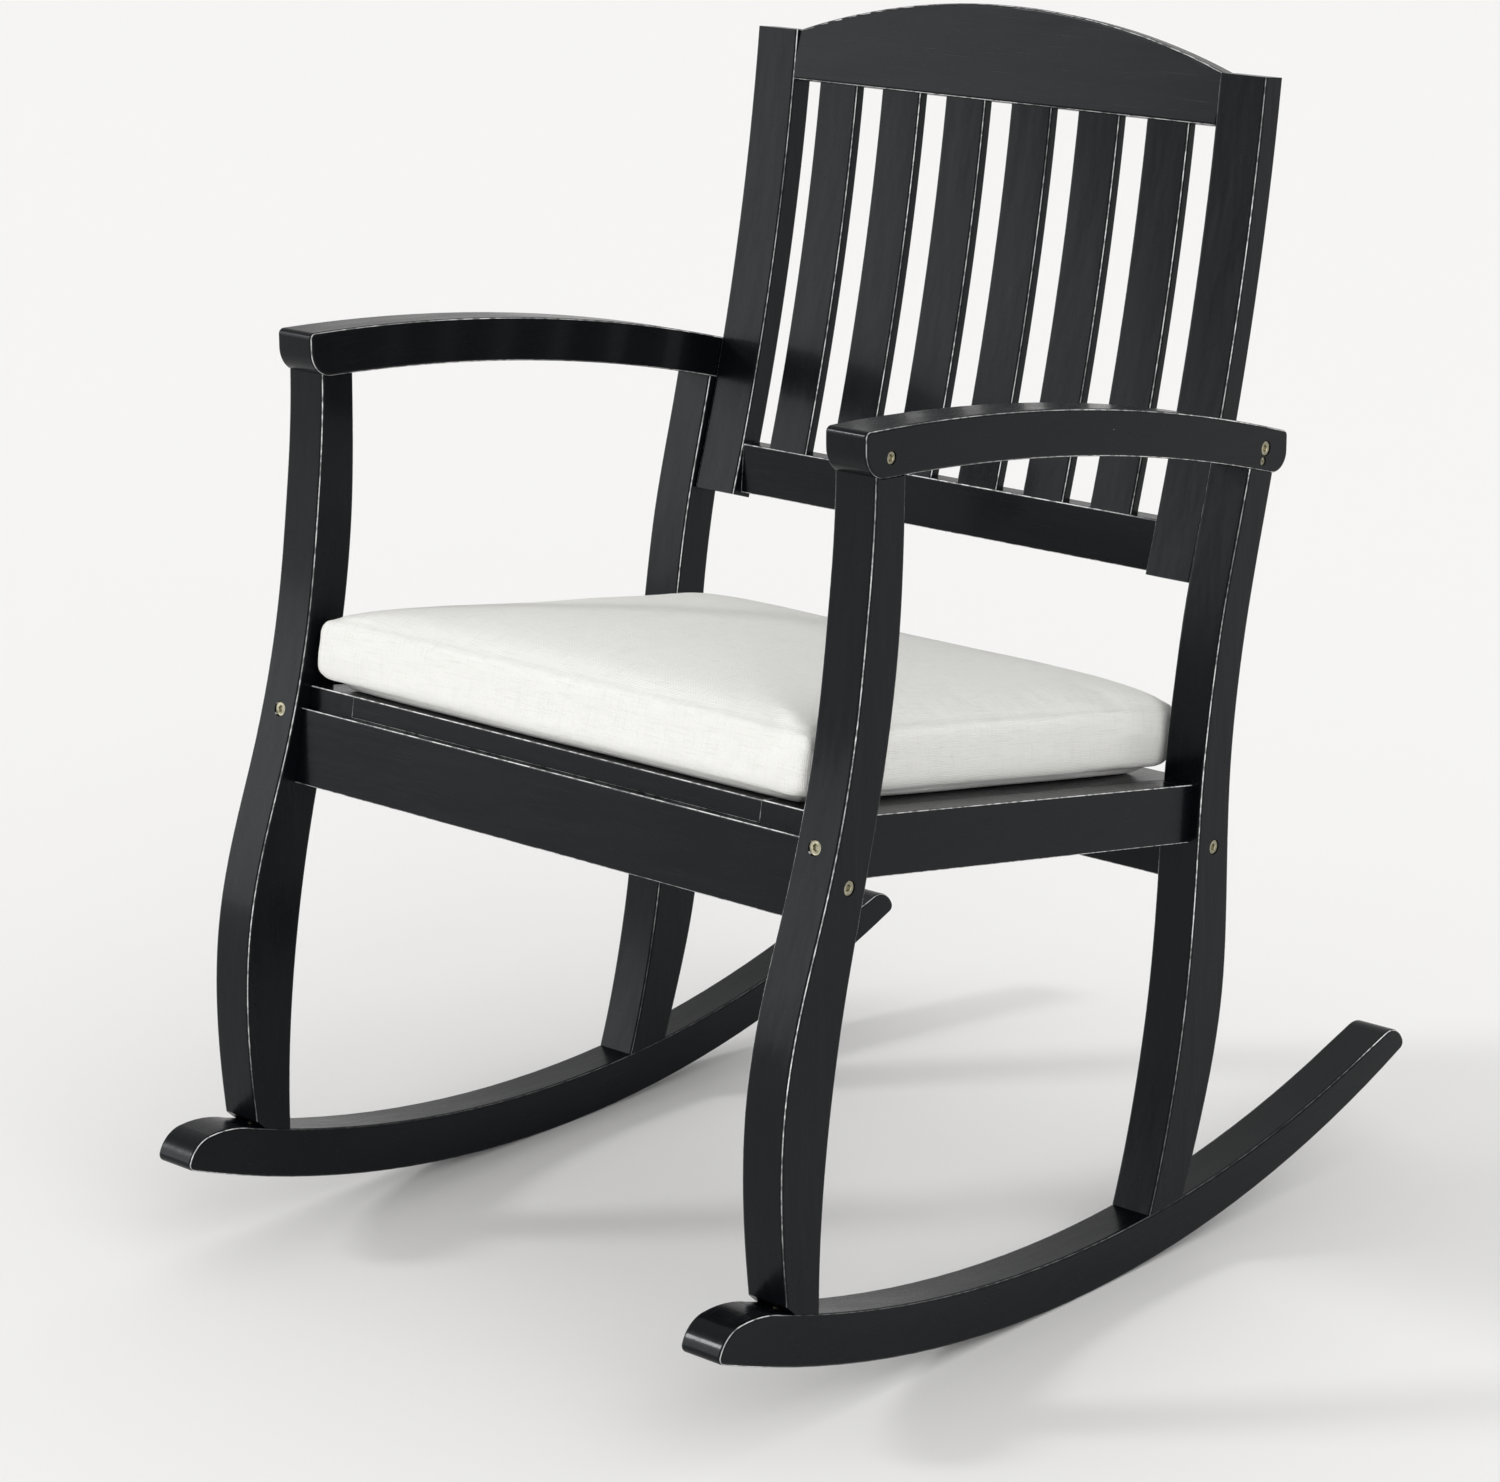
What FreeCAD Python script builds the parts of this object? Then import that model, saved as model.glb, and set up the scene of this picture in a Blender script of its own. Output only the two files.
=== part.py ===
import FreeCAD, Part

import math
import os

# Outdoor rocking chair with a loose seat cushion, in millimetres. +Z is up, the sitter faces -Y and
# the sitter's left hand is +X. The origin lies on the floor under the lowest point of the runners,
# half way between them.

Vector = FreeCAD.Vector

SIZES = {
    # Whole chair
    "overall_width": 620,
    "post_breadth": 39.5,
    "arris": 2.5,
    "panel_arris": 1.5,
    # Runners: rocking arc below, flatter arc above, raised and rounded tips
    "toe_overhang": 78.2,
    "heel_overhang": 328.7,
    "rocking_radius": 1165,
    "rocking_lead": 2,
    "runner_depth": 41,
    "toe_depth": 42.9,
    "toe_step_reach": 72,
    "toe_peak_depth": 32.9,
    "toe_peak_reach": 24,
    "toe_crown": 3,
    "toe_swell": 5.9,
    "heel_depth": 32.5,
    "heel_step_reach": 59,
    "heel_peak_depth": 30.5,
    "heel_peak_reach": 29,
    "heel_swell": 8,
    "tip_round": 6,
    # Legs
    "front_leg_sweep": 107,
    "rear_leg_sweep": 147,
    "foot_relief_reach": 6,
    "foot_relief_rise": 9,
    # Armrests: arched boards of even depth
    "arm_front_height": 752,
    "arm_fall": 84,
    "arm_arch": 17.5,
    "arm_depth": 37,
    "arm_nose_overhang": 11.5,
    "arm_tail_overhang": 20,
    "arm_nose_round": 22,
    "arm_tail_round": 16,
    "arm_lip_round": 5,
    # Seat plane: top of the seat boards, falling to the back
    "seat_front_height": 464.5,
    "seat_tilt": 9.6,
    "seat_thickness": 18,
    "seat_length": 473,
    "seat_side_width": 50,
    "seat_end_width": 60,
    "seat_side_gap": 0.5,
    "seat_slat_count": 5,
    "seat_slat_width": 45,
    "seat_slat_thickness": 10,
    "seat_slat_housing": 12,
    # Rails under the seat
    "rail_height": 62,
    "rail_thickness": 21.5,
    "front_rail_lead": 8,
    "side_rail_height": 48,
    "side_rail_thickness": 24,
    "side_rail_inset": 10,
    "side_rail_proud": 2,
    "cleat_width": 18,
    "cleat_end_gap": 40,
    # Backrest
    "stile_drop": 81,
    "back_rise": 396,
    "back_lean": 87.5,
    "back_hollow": 10,
    "stile_width": 45.5,
    "stile_thickness": 23.5,
    "stile_gap": 0.8,
    "crest_tilt": 12,
    "crest_end_height": 43,
    "crest_arch": 37,
    "crest_thickness": 22,
    "back_rail_height": 43,
    "back_rail_thickness": 22,
    "back_rail_tilt": 5,
    "back_rail_setback": 1,
    "back_slat_count": 6,
    "back_slat_width": 43,
    "back_slat_thickness": 11,
    "back_slat_setback": 3,
    "back_slat_tenon": 8,
    # Cushion
    "cushion_side_gap": 7.5,
    "cushion_rear_gap": 19,
    "cushion_overhang": 4,
    "cushion_edge_height": 60,
    "cushion_crown": 27,
    "cushion_back_rise": 9,
    "cushion_lift": 0.3,
    # Fasteners
    "bolt_shank": 6,
    "bolt_head": 12,
    "bolt_head_height": 3,
    "bolt_sink": 1,
    "hex_across": 5,
    "hex_depth": 2,
    "bolt_grip": 34,
    "nut_set_in": 28,
    "barrel_nut": 10,
    "barrel_nut_length": 16,
    "insert_outer": 10,
    "insert_length": 14,
    "arm_bolt_head": 10,
    "arm_bolt_length": 30,
    "arm_dowel": 18,
    "arm_dowel_length": 48,
    "arm_rear_bolt_rise": 20,
    "arm_rear_bolt_grip": 17.5,
    "arm_screw_drop": 10,
    "arm_screw_lead": 3.5,
    "arm_screw_grip": 20,
    "screw_head": 7,
    "screw_shank": 4,
    "screw_length": 30,
    "screw_head_height": 2.4,
    "dowel": 8,
    "dowel_length": 36,
    "foot_bolt_sink": 9,
    "foot_bolt_length": 58,
    "foot_dowel_length": 26,
    "foot_spacing": 14,
    "hole_clearance": 0.1,
    "fit_clearance": 0.15,
    "overrun": 2,
}

# Leg outlines from the foot to the top: height share, front edge share and back edge share.
# Heights are shares of the leg's rise and edges are shares of its sweep.
FRONT_LEG_SHARES = (
    (0.0, -0.907, -0.589),
    (0.1, -0.973, -0.574),
    (0.2, -0.991, -0.515),
    (0.3, -0.931, -0.417),
    (0.4, -0.764, -0.282),
    (0.5, -0.534, -0.116),
    (0.6, -0.337, 0.045),
    (0.7, -0.197, 0.178),
    (0.8, -0.104, 0.264),
    (0.9, -0.032, 0.301),
    (1.0, -0.005, 0.316),
)
REAR_LEG_SHARES = (
    (0.0, -0.034, 0.279),
    (0.1, 0.117, 0.437),
    (0.2, 0.229, 0.578),
    (0.3, 0.311, 0.663),
    (0.4, 0.362, 0.682),
    (0.5, 0.393, 0.679),
    (0.6, 0.426, 0.69),
    (0.7, 0.489, 0.739),
    (0.8, 0.575, 0.822),
    (0.9, 0.693, 0.931),
    (1.0, 0.81, 1.043),
)
# Places on a leg's sweep: the foot of the backrest and the middle of the top of a leg.
BACK_FOOT_SHARE = 0.636
FRONT_TOP_SHARE = 0.155
REAR_TOP_SHARE = 0.926
# Places across a leg from its front edge to its back edge: the seat's front edge, the seat's rear
# end, the middle, and the dowel in the top of a rear leg.
SEAT_FRONT_SHARE = 0.221
SEAT_END_SHARE = 0.931
MIDDLE_SHARE = 0.5
REAR_PIN_SHARE = 0.2
# Cushion layers from the underside up: height as a share of edge and crown together, inset as a
# share of the half width and of the half depth, and corner radius as a share of the layer's half depth.
CUSHION_SHARES = (
    (0.0, 0.075, 0.07),
    (0.05, 0.025, 0.06),
    (0.14, 0.005, 0.05),
    (0.3, 0.0, 0.045),
    (0.51, 0.003, 0.045),
    (0.64, 0.018, 0.05),
    (0.7, 0.048, 0.07),
    (0.74, 0.087, 0.1),
    (0.79, 0.145, 0.15),
    (0.85, 0.25, 0.24),
    (0.91, 0.4, 0.35),
    (0.955, 0.58, 0.46),
    (0.985, 0.78, 0.58),
    (1.0, 0.94, 0.7),
)
# Places of the three screws along a seat cleat, as shares of its length, and the step from a screw
# into the seat to the one into the rail beside it.
CLEAT_SCREW_SHARES = (0.12, 0.5, 0.88)
CLEAT_STEP_SHARE = 0.05
# Heights of the two dowels in each end of the crest, of the lower back rail and of the stile foot.
PAIR_SHARES = (0.27, 0.73)
STILE_FOOT_SHARES = (0.25, 0.75)
# Height of the bolt that locks an armrest's dowel, and how far below a rail's middle its dowel sits.
ARM_LOCK_SHARE = 0.4
RAIL_PIN_SHARE = 0.25
# Depth of the lower back rail's dowels behind its front face, so that they stay inside the stiles.
BACK_PIN_SHARE = 0.36

doc = FreeCAD.newDocument("rocking_chair")
sheet = doc.addObject("Spreadsheet::Sheet", "Sheet")
for row, (alias, value) in enumerate(SIZES.items(), start=1):
    sheet.set("A%d" % row, alias)
    sheet.set("B%d" % row, str(value))
    sheet.setAlias("B%d" % row, alias)
doc.recompute()


def size(alias):
    """One driving dimension, read back from the sheet."""
    return float(sheet.get(alias))


SIDES = {"left": 1, "right": -1}
HALF_WIDTH = size("overall_width") / 2
POST_INNER = HALF_WIDTH - size("post_breadth")
POST_MIDDLE = HALF_WIDTH - size("post_breadth") / 2
OVERRUN = size("overrun")
parts = []


def bind(item, **expressions):
    """Ties properties of an object to cells of the sheet."""
    for name, expression in expressions.items():
        item.setExpression(name, expression)
    return item


def keep(item, label):
    """Names a finished piece and lists it for export."""
    item.Label = label
    parts.append(item)
    return item


# Outlines in a plane: a pen that collects lines, arcs and smooth curves


class Pen:
    def __init__(self, start):
        self.start = Vector(start[0], start[1], 0)
        self.here = self.start
        self.edges = []

    def line(self, end):
        end = Vector(end[0], end[1], 0)
        self.edges.append(Part.LineSegment(self.here, end))
        self.here = end
        return self

    def arc(self, through, end):
        end = Vector(end[0], end[1], 0)
        self.edges.append(Part.Arc(self.here, Vector(through[0], through[1], 0), end))
        self.here = end
        return self

    def curve(self, points):
        points = [self.here] + [Vector(point[0], point[1], 0) for point in points]
        spline = Part.BSplineCurve()
        spline.interpolate(points)
        self.edges.append(spline)
        self.here = points[-1]
        return self

    def close(self):
        return self.line((self.start.x, self.start.y)).edges


def origin_plane(body, role):
    return next(item for item in body.Origin.OriginFeatures if item.Role == role)


def pad(name, role, edges, length):
    """A body padded from one outline on its own origin plane."""
    body = doc.addObject("PartDesign::Body", name)
    sketch = body.newObject("Sketcher::SketchObject", name + "_outline")
    sketch.AttachmentSupport = [(origin_plane(body, role), "")]
    sketch.MapMode = "FlatFace"
    sketch.addGeometry(edges, False)
    doc.recompute()
    block = body.newObject("PartDesign::Pad", name + "_pad")
    block.Profile = sketch
    bind(block, Length=length)
    doc.recompute()
    return body


def corner_edges(shape, corners):
    """Names of the edges along X that stand on the given (Y, Z) corners."""
    names = []
    for y, z in corners:
        def distance(item):
            box = item[1].BoundBox
            spread = box.YLength + box.ZLength
            return spread + math.hypot(box.Center.y - y, box.Center.z - z)

        numbered = [item for item in enumerate(shape.Edges, start=1) if item[1].BoundBox.XLength > OVERRUN]
        names.append("Edge%d" % min(numbered, key=distance)[0])
    return names


def round_corners(body, corners, radius):
    """Rounds the corners of a padded outline, on the body's last feature."""
    base = body.Tip
    fillet = body.newObject("PartDesign::Fillet", base.Name + "_round")
    fillet.Base = (base, corner_edges(base.Shape, corners))
    bind(fillet, Radius=radius)
    doc.recompute()
    return body


def soften(body, normal, radius, longer_than):
    """Eases the long outline edges on both faces of a padded board that lies across the normal."""
    base = body.Tip
    names = []
    for number, edge in enumerate(base.Shape.Edges, start=1):
        ends = [vertex.Point.dot(normal) for vertex in edge.Vertexes]
        if max(ends) - min(ends) < size("fit_clearance") and edge.Length > longer_than:
            names.append("Edge%d" % number)
    fillet = body.newObject("PartDesign::Fillet", base.Name + "_ease")
    fillet.Base = (base, names)
    bind(fillet, Radius=radius)
    doc.recompute()
    return body


def ease(name, base, direction):
    """Eases the four edges of a box that run along a direction."""
    radius = size("panel_arris")
    item = doc.addObject("Part::Fillet", name)
    item.Base = base
    item.Edges = [(number, radius, radius) for number, edge in enumerate(base.Shape.Edges, start=1)
                  if edge.tangentAt(edge.FirstParameter).cross(direction).Length < size("fit_clearance")]
    doc.recompute()
    return item


def side_place(side):
    """Expression for the X of a board one post broad, on the left or the right side."""
    if side > 0:
        return "Sheet.overall_width / 2 - Sheet.post_breadth"
    return "-Sheet.overall_width / 2"


def align(direction):
    return FreeCAD.Rotation(Vector(0, 0, 1), direction)


def cylinder(name, point, direction, radius, height):
    """A cylinder from a point along a direction; radius and height are cell expressions."""
    item = doc.addObject("Part::Cylinder", name)
    bind(item, Radius=radius, Height=height)
    item.Placement = FreeCAD.Placement(point, align(direction))
    return item


def box(name, length, width, height, placement):
    item = doc.addObject("Part::Box", name)
    bind(item, Length=length, Width=width, Height=height)
    item.Placement = placement
    doc.recompute()
    return item


def cut(name, base, tools):
    """The base less all the tools."""
    tool = tools[0]
    if len(tools) > 1:
        tool = doc.addObject("Part::MultiFuse", name + "_tools")
        tool.Shapes = tools
    item = doc.addObject("Part::Cut", name)
    item.Base = base
    item.Tool = tool
    doc.recompute()
    return item


def group(label, items):
    """Several alike solids that share one node."""
    item = doc.addObject("Part::Compound", label)
    item.Links = items
    return keep(item, label)


# Layout along the chair: everything follows the front legs' line, and the tips of the runners end
# up the same distance in front of and behind the origin


def across_leg(shares, height_share, column_share):
    """Place on a leg's sweep, at a share of its height and a share of the way from front to back."""
    pairs = list(zip(shares, shares[1:]))
    low, high = next((pair for pair in pairs if height_share <= pair[1][0]), pairs[-1])
    step = (height_share - low[0]) / (high[0] - low[0])
    front = low[1] + (high[1] - low[1]) * step
    back = low[2] + (high[2] - low[2]) * step
    return front + (back - front) * column_share


SEAT_TILT = math.radians(size("seat_tilt"))
seat_end_height = size("seat_front_height") - size("seat_length") * math.sin(SEAT_TILT)
seat_front_rise = size("seat_front_height") / size("arm_front_height")
seat_end_rise = seat_end_height / (size("arm_front_height") - size("arm_fall"))
seat_front_place = across_leg(FRONT_LEG_SHARES, seat_front_rise, SEAT_FRONT_SHARE)
seat_end_place = across_leg(REAR_LEG_SHARES, seat_end_rise, SEAT_END_SHARE)
toe_from_line = size("front_leg_sweep") * FRONT_LEG_SHARES[0][1] - size("toe_overhang")
seat_from_line = size("front_leg_sweep") * seat_front_place
end_from_line = seat_from_line + size("seat_length") * math.cos(SEAT_TILT)
rear_from_line = end_from_line - size("rear_leg_sweep") * seat_end_place
heel_from_line = rear_from_line + size("rear_leg_sweep") * REAR_LEG_SHARES[0][2] + size("heel_overhang")
FRONT_LEG_Y = -(toe_from_line + heel_from_line) / 2
REAR_LEG_Y = FRONT_LEG_Y + rear_from_line
RUNNER_HALF = (heel_from_line - toe_from_line) / 2
ARM_FRONT_Y = FRONT_LEG_Y - size("arm_nose_overhang")
ARM_REAR_Y = REAR_LEG_Y + size("rear_leg_sweep") + size("arm_tail_overhang")
BACK_FOOT_Y = REAR_LEG_Y + size("rear_leg_sweep") * BACK_FOOT_SHARE
LOWEST_Y = -size("rocking_lead")


def rocking_height(y):
    """Height of the runners' underside."""
    return size("rocking_radius") - math.sqrt(size("rocking_radius") ** 2 - (y - LOWEST_Y) ** 2)


def arm_height(y, drop):
    """Height of a line that follows the armrest's arch, a drop below its top edge."""
    share = (y - ARM_FRONT_Y) / (ARM_REAR_Y - ARM_FRONT_Y)
    arch = size("arm_arch") * (1 - (2 * share - 1) ** 2)
    return size("arm_front_height") - size("arm_fall") * share + arch - drop


# The seat plane: places along it and above it


SEAT_START = Vector(0, FRONT_LEG_Y + seat_from_line, size("seat_front_height"))
ALONG = Vector(0, math.cos(SEAT_TILT), -math.sin(SEAT_TILT))
UP = Vector(0, math.sin(SEAT_TILT), math.cos(SEAT_TILT))
ACROSS = Vector(1, 0, 0)


def seat_point(x, along, up):
    return SEAT_START + ACROSS * x + ALONG * along + UP * up


def seat_placement(x, along, up):
    return FreeCAD.Placement(seat_point(x, along, up), FreeCAD.Rotation(ACROSS, -size("seat_tilt")))


def span(shape, point, direction):
    """Where a line through a point enters and leaves a shape."""
    reach = 2 * RUNNER_HALF + size("overall_width")
    line = Part.makeLine(point - direction * reach, point + direction * reach)
    inside = shape.common(line)
    places = [(vertex.Point - point).dot(direction) for vertex in inside.Vertexes]
    return point + direction * min(places), point + direction * max(places)


# Bolts, nuts, screws and dowels, each with the hole that it needs


def bolt(name, point, direction, head, length):
    """A socket-head bolt; the point is the outer face of its head."""
    shank = cylinder(name + "_shank", point, direction, "Sheet.bolt_shank / 2", length)
    cap = cylinder(name + "_cap", point, direction, "Sheet.%s / 2" % head, "Sheet.bolt_head_height")
    whole = doc.addObject("Part::MultiFuse", name + "_whole")
    whole.Shapes = [shank, cap]
    socket = doc.addObject("Part::Prism", name + "_socket")
    socket.Polygon = 6
    bind(socket, Circumradius="Sheet.hex_across / 2 / cos(30)", Height="Sheet.hex_depth")
    socket.Placement = FreeCAD.Placement(point, align(direction))
    return cut(name, whole, [socket])


def bolt_holes(name, point, direction, head, length, sink):
    """Clearance hole for the shank and counterbore for the head, open to the outside."""
    shank = cylinder(name + "_bore", point, direction, "Sheet.bolt_shank / 2 + Sheet.hole_clearance",
                     "%s + Sheet.overrun / 2" % length)
    outside = point - direction * (size(sink) + OVERRUN * 2)
    seat = cylinder(name + "_seat", outside, direction, "Sheet.%s / 2 + Sheet.hole_clearance" % head,
                    "Sheet.%s + 2 * Sheet.overrun + Sheet.bolt_head_height" % sink)
    return [shank, seat]


def dowel(name, middle, direction, diameter="dowel", length="dowel_length"):
    start = middle - direction * (size(length) / 2)
    return cylinder(name, start, direction, "Sheet.%s / 2" % diameter, "Sheet.%s" % length)


def dowel_hole(name, middle, direction, diameter="dowel", length="dowel_length"):
    start = middle - direction * (size(length) / 2 + size("fit_clearance"))
    return cylinder(name + "_hole", start, direction, "Sheet.%s / 2 + Sheet.hole_clearance" % diameter,
                    "Sheet.%s + 2 * Sheet.fit_clearance" % length)


def barrel_nut(name, middle, direction, bolt_point, bolt_direction):
    """A round nut across the bolt, bored where the bolt passes."""
    start = middle - direction * (size("barrel_nut_length") / 2)
    blank = cylinder(name + "_blank", start, direction, "Sheet.barrel_nut / 2", "Sheet.barrel_nut_length")
    bore = cylinder(name + "_thread", middle - bolt_direction * size("barrel_nut"), bolt_direction,
                    "Sheet.bolt_shank / 2 + Sheet.hole_clearance", "2 * Sheet.barrel_nut")
    return cut(name, blank, [bore])


def barrel_nut_hole(name, middle, direction, depth):
    """A blind hole for the nut; the depth runs from the nut's middle out through the board's face."""
    start = middle - direction * (size("barrel_nut_length") / 2 + size("fit_clearance"))
    return cylinder(name + "_nut_hole", start, direction, "Sheet.barrel_nut / 2 + Sheet.hole_clearance",
                    "Sheet.barrel_nut_length / 2 + Sheet.fit_clearance + Sheet.overrun + %s" % depth)


def screw(name, point, direction, length):
    """A countersunk screw; the point is the middle of its head's outer face."""
    head = doc.addObject("Part::Cone", name + "_head")
    bind(head, Radius1="Sheet.screw_head / 2", Radius2="Sheet.screw_shank / 2",
         Height="Sheet.screw_head_height")
    head.Placement = FreeCAD.Placement(point, align(direction))
    shank = cylinder(name + "_shank", point, direction, "Sheet.screw_shank / 2", length)
    whole = doc.addObject("Part::MultiFuse", name)
    whole.Shapes = [head, shank]
    return whole


def screw_holes(name, point, direction, length):
    shank = cylinder(name + "_bore", point, direction, "Sheet.screw_shank / 2 + Sheet.hole_clearance",
                     "%s + Sheet.fit_clearance" % length)
    sink = doc.addObject("Part::Cone", name + "_sink")
    bind(sink, Radius1="Sheet.screw_head / 2 + Sheet.hole_clearance",
         Radius2="Sheet.screw_shank / 2 + Sheet.hole_clearance", Height="Sheet.screw_head_height")
    sink.Placement = FreeCAD.Placement(point, align(direction))
    mouth = cylinder(name + "_mouth", point - direction * OVERRUN, direction,
                     "Sheet.screw_head / 2 + Sheet.hole_clearance", "Sheet.overrun")
    return [shank, sink, mouth]


# Blanks: boards before their joints are cut


def chord_arc(start, end, sag):
    """Middle point of an arc over a chord, lifted to the chord's left by the sag."""
    run, rise = end[0] - start[0], end[1] - start[1]
    length = math.hypot(run, rise)
    return ((start[0] + end[0]) / 2 - rise / length * sag, (start[1] + end[1]) / 2 + run / length * sag)


def runner_point(y, depth):
    """(Y, Z) of a place above the runners' underside."""
    return (y, rocking_height(y) + depth)


def runner_blank(name, side):
    """A rocking arc below, an upper arc that ends in a crowned toe and a raised heel, and rounded tips."""
    toe_low, heel_low = runner_point(-RUNNER_HALF, 0), runner_point(RUNNER_HALF, 0)
    toe_step = runner_point(size("toe_step_reach") - RUNNER_HALF, size("toe_depth"))
    toe_peak = runner_point(size("toe_peak_reach") - RUNNER_HALF, size("toe_peak_depth"))
    heel_step = runner_point(RUNNER_HALF - size("heel_step_reach"), size("heel_depth"))
    heel_peak = runner_point(RUNNER_HALF - size("heel_peak_reach"), size("heel_peak_depth"))
    pen = Pen(toe_low).arc((LOWEST_Y, 0), heel_low)
    pen.arc(chord_arc(heel_low, heel_peak, -size("heel_swell")), heel_peak).line(heel_step)
    pen.arc((LOWEST_Y, size("runner_depth")), toe_step)
    pen.arc(chord_arc(toe_step, toe_peak, -size("toe_crown")), toe_peak)
    pen.arc(chord_arc(toe_peak, toe_low, -size("toe_swell")), toe_low)
    body = pad(name, "YZ_Plane", pen.edges, "Sheet.post_breadth")
    round_corners(body, [toe_low, heel_low], "Sheet.tip_round")
    bind(body, **{"Placement.Base.x": side_place(side)})
    return body


def arm_blank(name, side):
    drop, fall, height = size("arm_depth"), size("arm_fall"), size("arm_front_height")
    front, back = (ARM_FRONT_Y, height), (ARM_REAR_Y, height - fall)
    low_back, low_front = (ARM_REAR_Y, height - fall - drop), (ARM_FRONT_Y, height - drop)
    pen = Pen(front).arc(chord_arc(front, back, size("arm_arch")), back).line(low_back)
    pen.arc(chord_arc(low_front, low_back, size("arm_arch")), low_front)
    body = pad(name, "YZ_Plane", pen.close(), "Sheet.post_breadth")
    round_corners(body, [low_front], "Sheet.arm_nose_round")
    round_corners(body, [low_back], "Sheet.arm_tail_round")
    round_corners(body, [front, back], "Sheet.arm_lip_round")
    bind(body, **{"Placement.Base.x": side_place(side)})
    return body


def leg_blank(name, side, shares, start_y, sweep, top_share):
    """A curved leg from half way down the runner to half way up the armrest."""
    start_z = rocking_height(start_y + sweep * shares[0][1]) + size("runner_depth") / 2
    rise = arm_height(start_y + sweep * top_share, size("arm_depth") / 2) - start_z
    front = [(start_y + sweep * row[1], start_z + rise * row[0]) for row in shares]
    back = [(start_y + sweep * row[2], start_z + rise * row[0]) for row in shares]
    pen = Pen(front[0]).curve(front[1:]).line(back[-1]).curve(back[-2::-1])
    body = pad(name, "YZ_Plane", pen.close(), "Sheet.post_breadth")
    bind(body, **{"Placement.Base.x": side_place(side)})
    return body


def front_leg_blank(name, side):
    return leg_blank(name, side, FRONT_LEG_SHARES, FRONT_LEG_Y, size("front_leg_sweep"), FRONT_TOP_SHARE)


def rear_leg_blank(name, side):
    return leg_blank(name, side, REAR_LEG_SHARES, REAR_LEG_Y, size("rear_leg_sweep"), REAR_TOP_SHARE)


# The back's curve: one arc in side view, hollow towards the sitter


BACK_FOOT_Z = size("arm_front_height") - size("arm_fall") - size("arm_depth") - size("stile_drop")
BACK_FOOT = Vector(BACK_FOOT_Y, BACK_FOOT_Z, 0)
BACK_TOP = BACK_FOOT + Vector(size("back_lean"), size("back_rise"), 0)
BACK_CHORD = BACK_TOP - BACK_FOOT
BACK_RADIUS = (BACK_CHORD.Length ** 2 / 4 + size("back_hollow") ** 2) / (2 * size("back_hollow"))
BACK_NORMAL = Vector(BACK_CHORD.y, -BACK_CHORD.x, 0).normalize()
BACK_CENTRE = (BACK_FOOT + BACK_TOP) * 0.5 - BACK_NORMAL * (BACK_RADIUS - size("back_hollow"))


def back_angle(z, radius=BACK_RADIUS):
    """Angle on the back's arc at a height."""
    return math.asin((z - BACK_CENTRE.y) / radius)


def back_point(angle, depth):
    """(Y, Z) on the back, at a depth behind its front face."""
    reach = BACK_RADIUS + depth
    return (BACK_CENTRE.x + reach * math.cos(angle), BACK_CENTRE.y + reach * math.sin(angle))


def curved_board(name, low, high, depth, thickness, width, x):
    """A board bent along the back's arc, between two angles; width and x are cell expressions."""
    middle = (low + high) / 2
    pen = Pen(back_point(low, depth)).arc(back_point(middle, depth), back_point(high, depth))
    pen.line(back_point(high, depth + thickness))
    pen.arc(back_point(middle, depth + thickness), back_point(low, depth + thickness))
    body = pad(name, "YZ_Plane", pen.close(), width)
    bind(body, **{"Placement.Base.x": x})
    return body


def crest_blank(name):
    """A straight board between the stiles with an arched top edge."""
    half = STILE_INNER
    end, arch = size("crest_end_height"), size("crest_arch")
    pen = Pen((-half, 0)).line((half, 0)).line((half, end)).arc((0, end + arch), (-half, end))
    body = pad(name, "XZ_Plane", pen.close(), "Sheet.crest_thickness")
    soften(body, Vector(0, 1, 0), "Sheet.arris", 2 * end)
    body.Placement = FreeCAD.Placement(Vector(0, CREST_FOOT[0], CREST_FOOT[1]),
                                       FreeCAD.Rotation(ACROSS, -size("crest_tilt")))
    body.Placement = body.Placement.multiply(FreeCAD.Placement(Vector(0, size("crest_thickness"), 0),
                                                               FreeCAD.Rotation()))
    return body


STILE_OUTER = POST_INNER - size("stile_gap")
STILE_INNER = STILE_OUTER - size("stile_width")
STILE_X = {1: "Sheet.overall_width / 2 - Sheet.post_breadth - Sheet.stile_gap - Sheet.stile_width",
           -1: "-Sheet.overall_width / 2 + Sheet.post_breadth + Sheet.stile_gap"}
CREST_TILT = math.radians(size("crest_tilt"))
RAIL_TILT = math.radians(size("back_rail_tilt"))
CREST_ANGLE = back_angle(BACK_TOP.y - size("crest_end_height") * math.cos(CREST_TILT))
CREST_FOOT = back_point(CREST_ANGLE, 0)
RAIL_ANGLE = back_angle(BACK_FOOT.y + size("back_rail_height") * math.cos(RAIL_TILT))
RAIL_HEAD = back_point(RAIL_ANGLE, size("back_rail_setback"))

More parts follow.
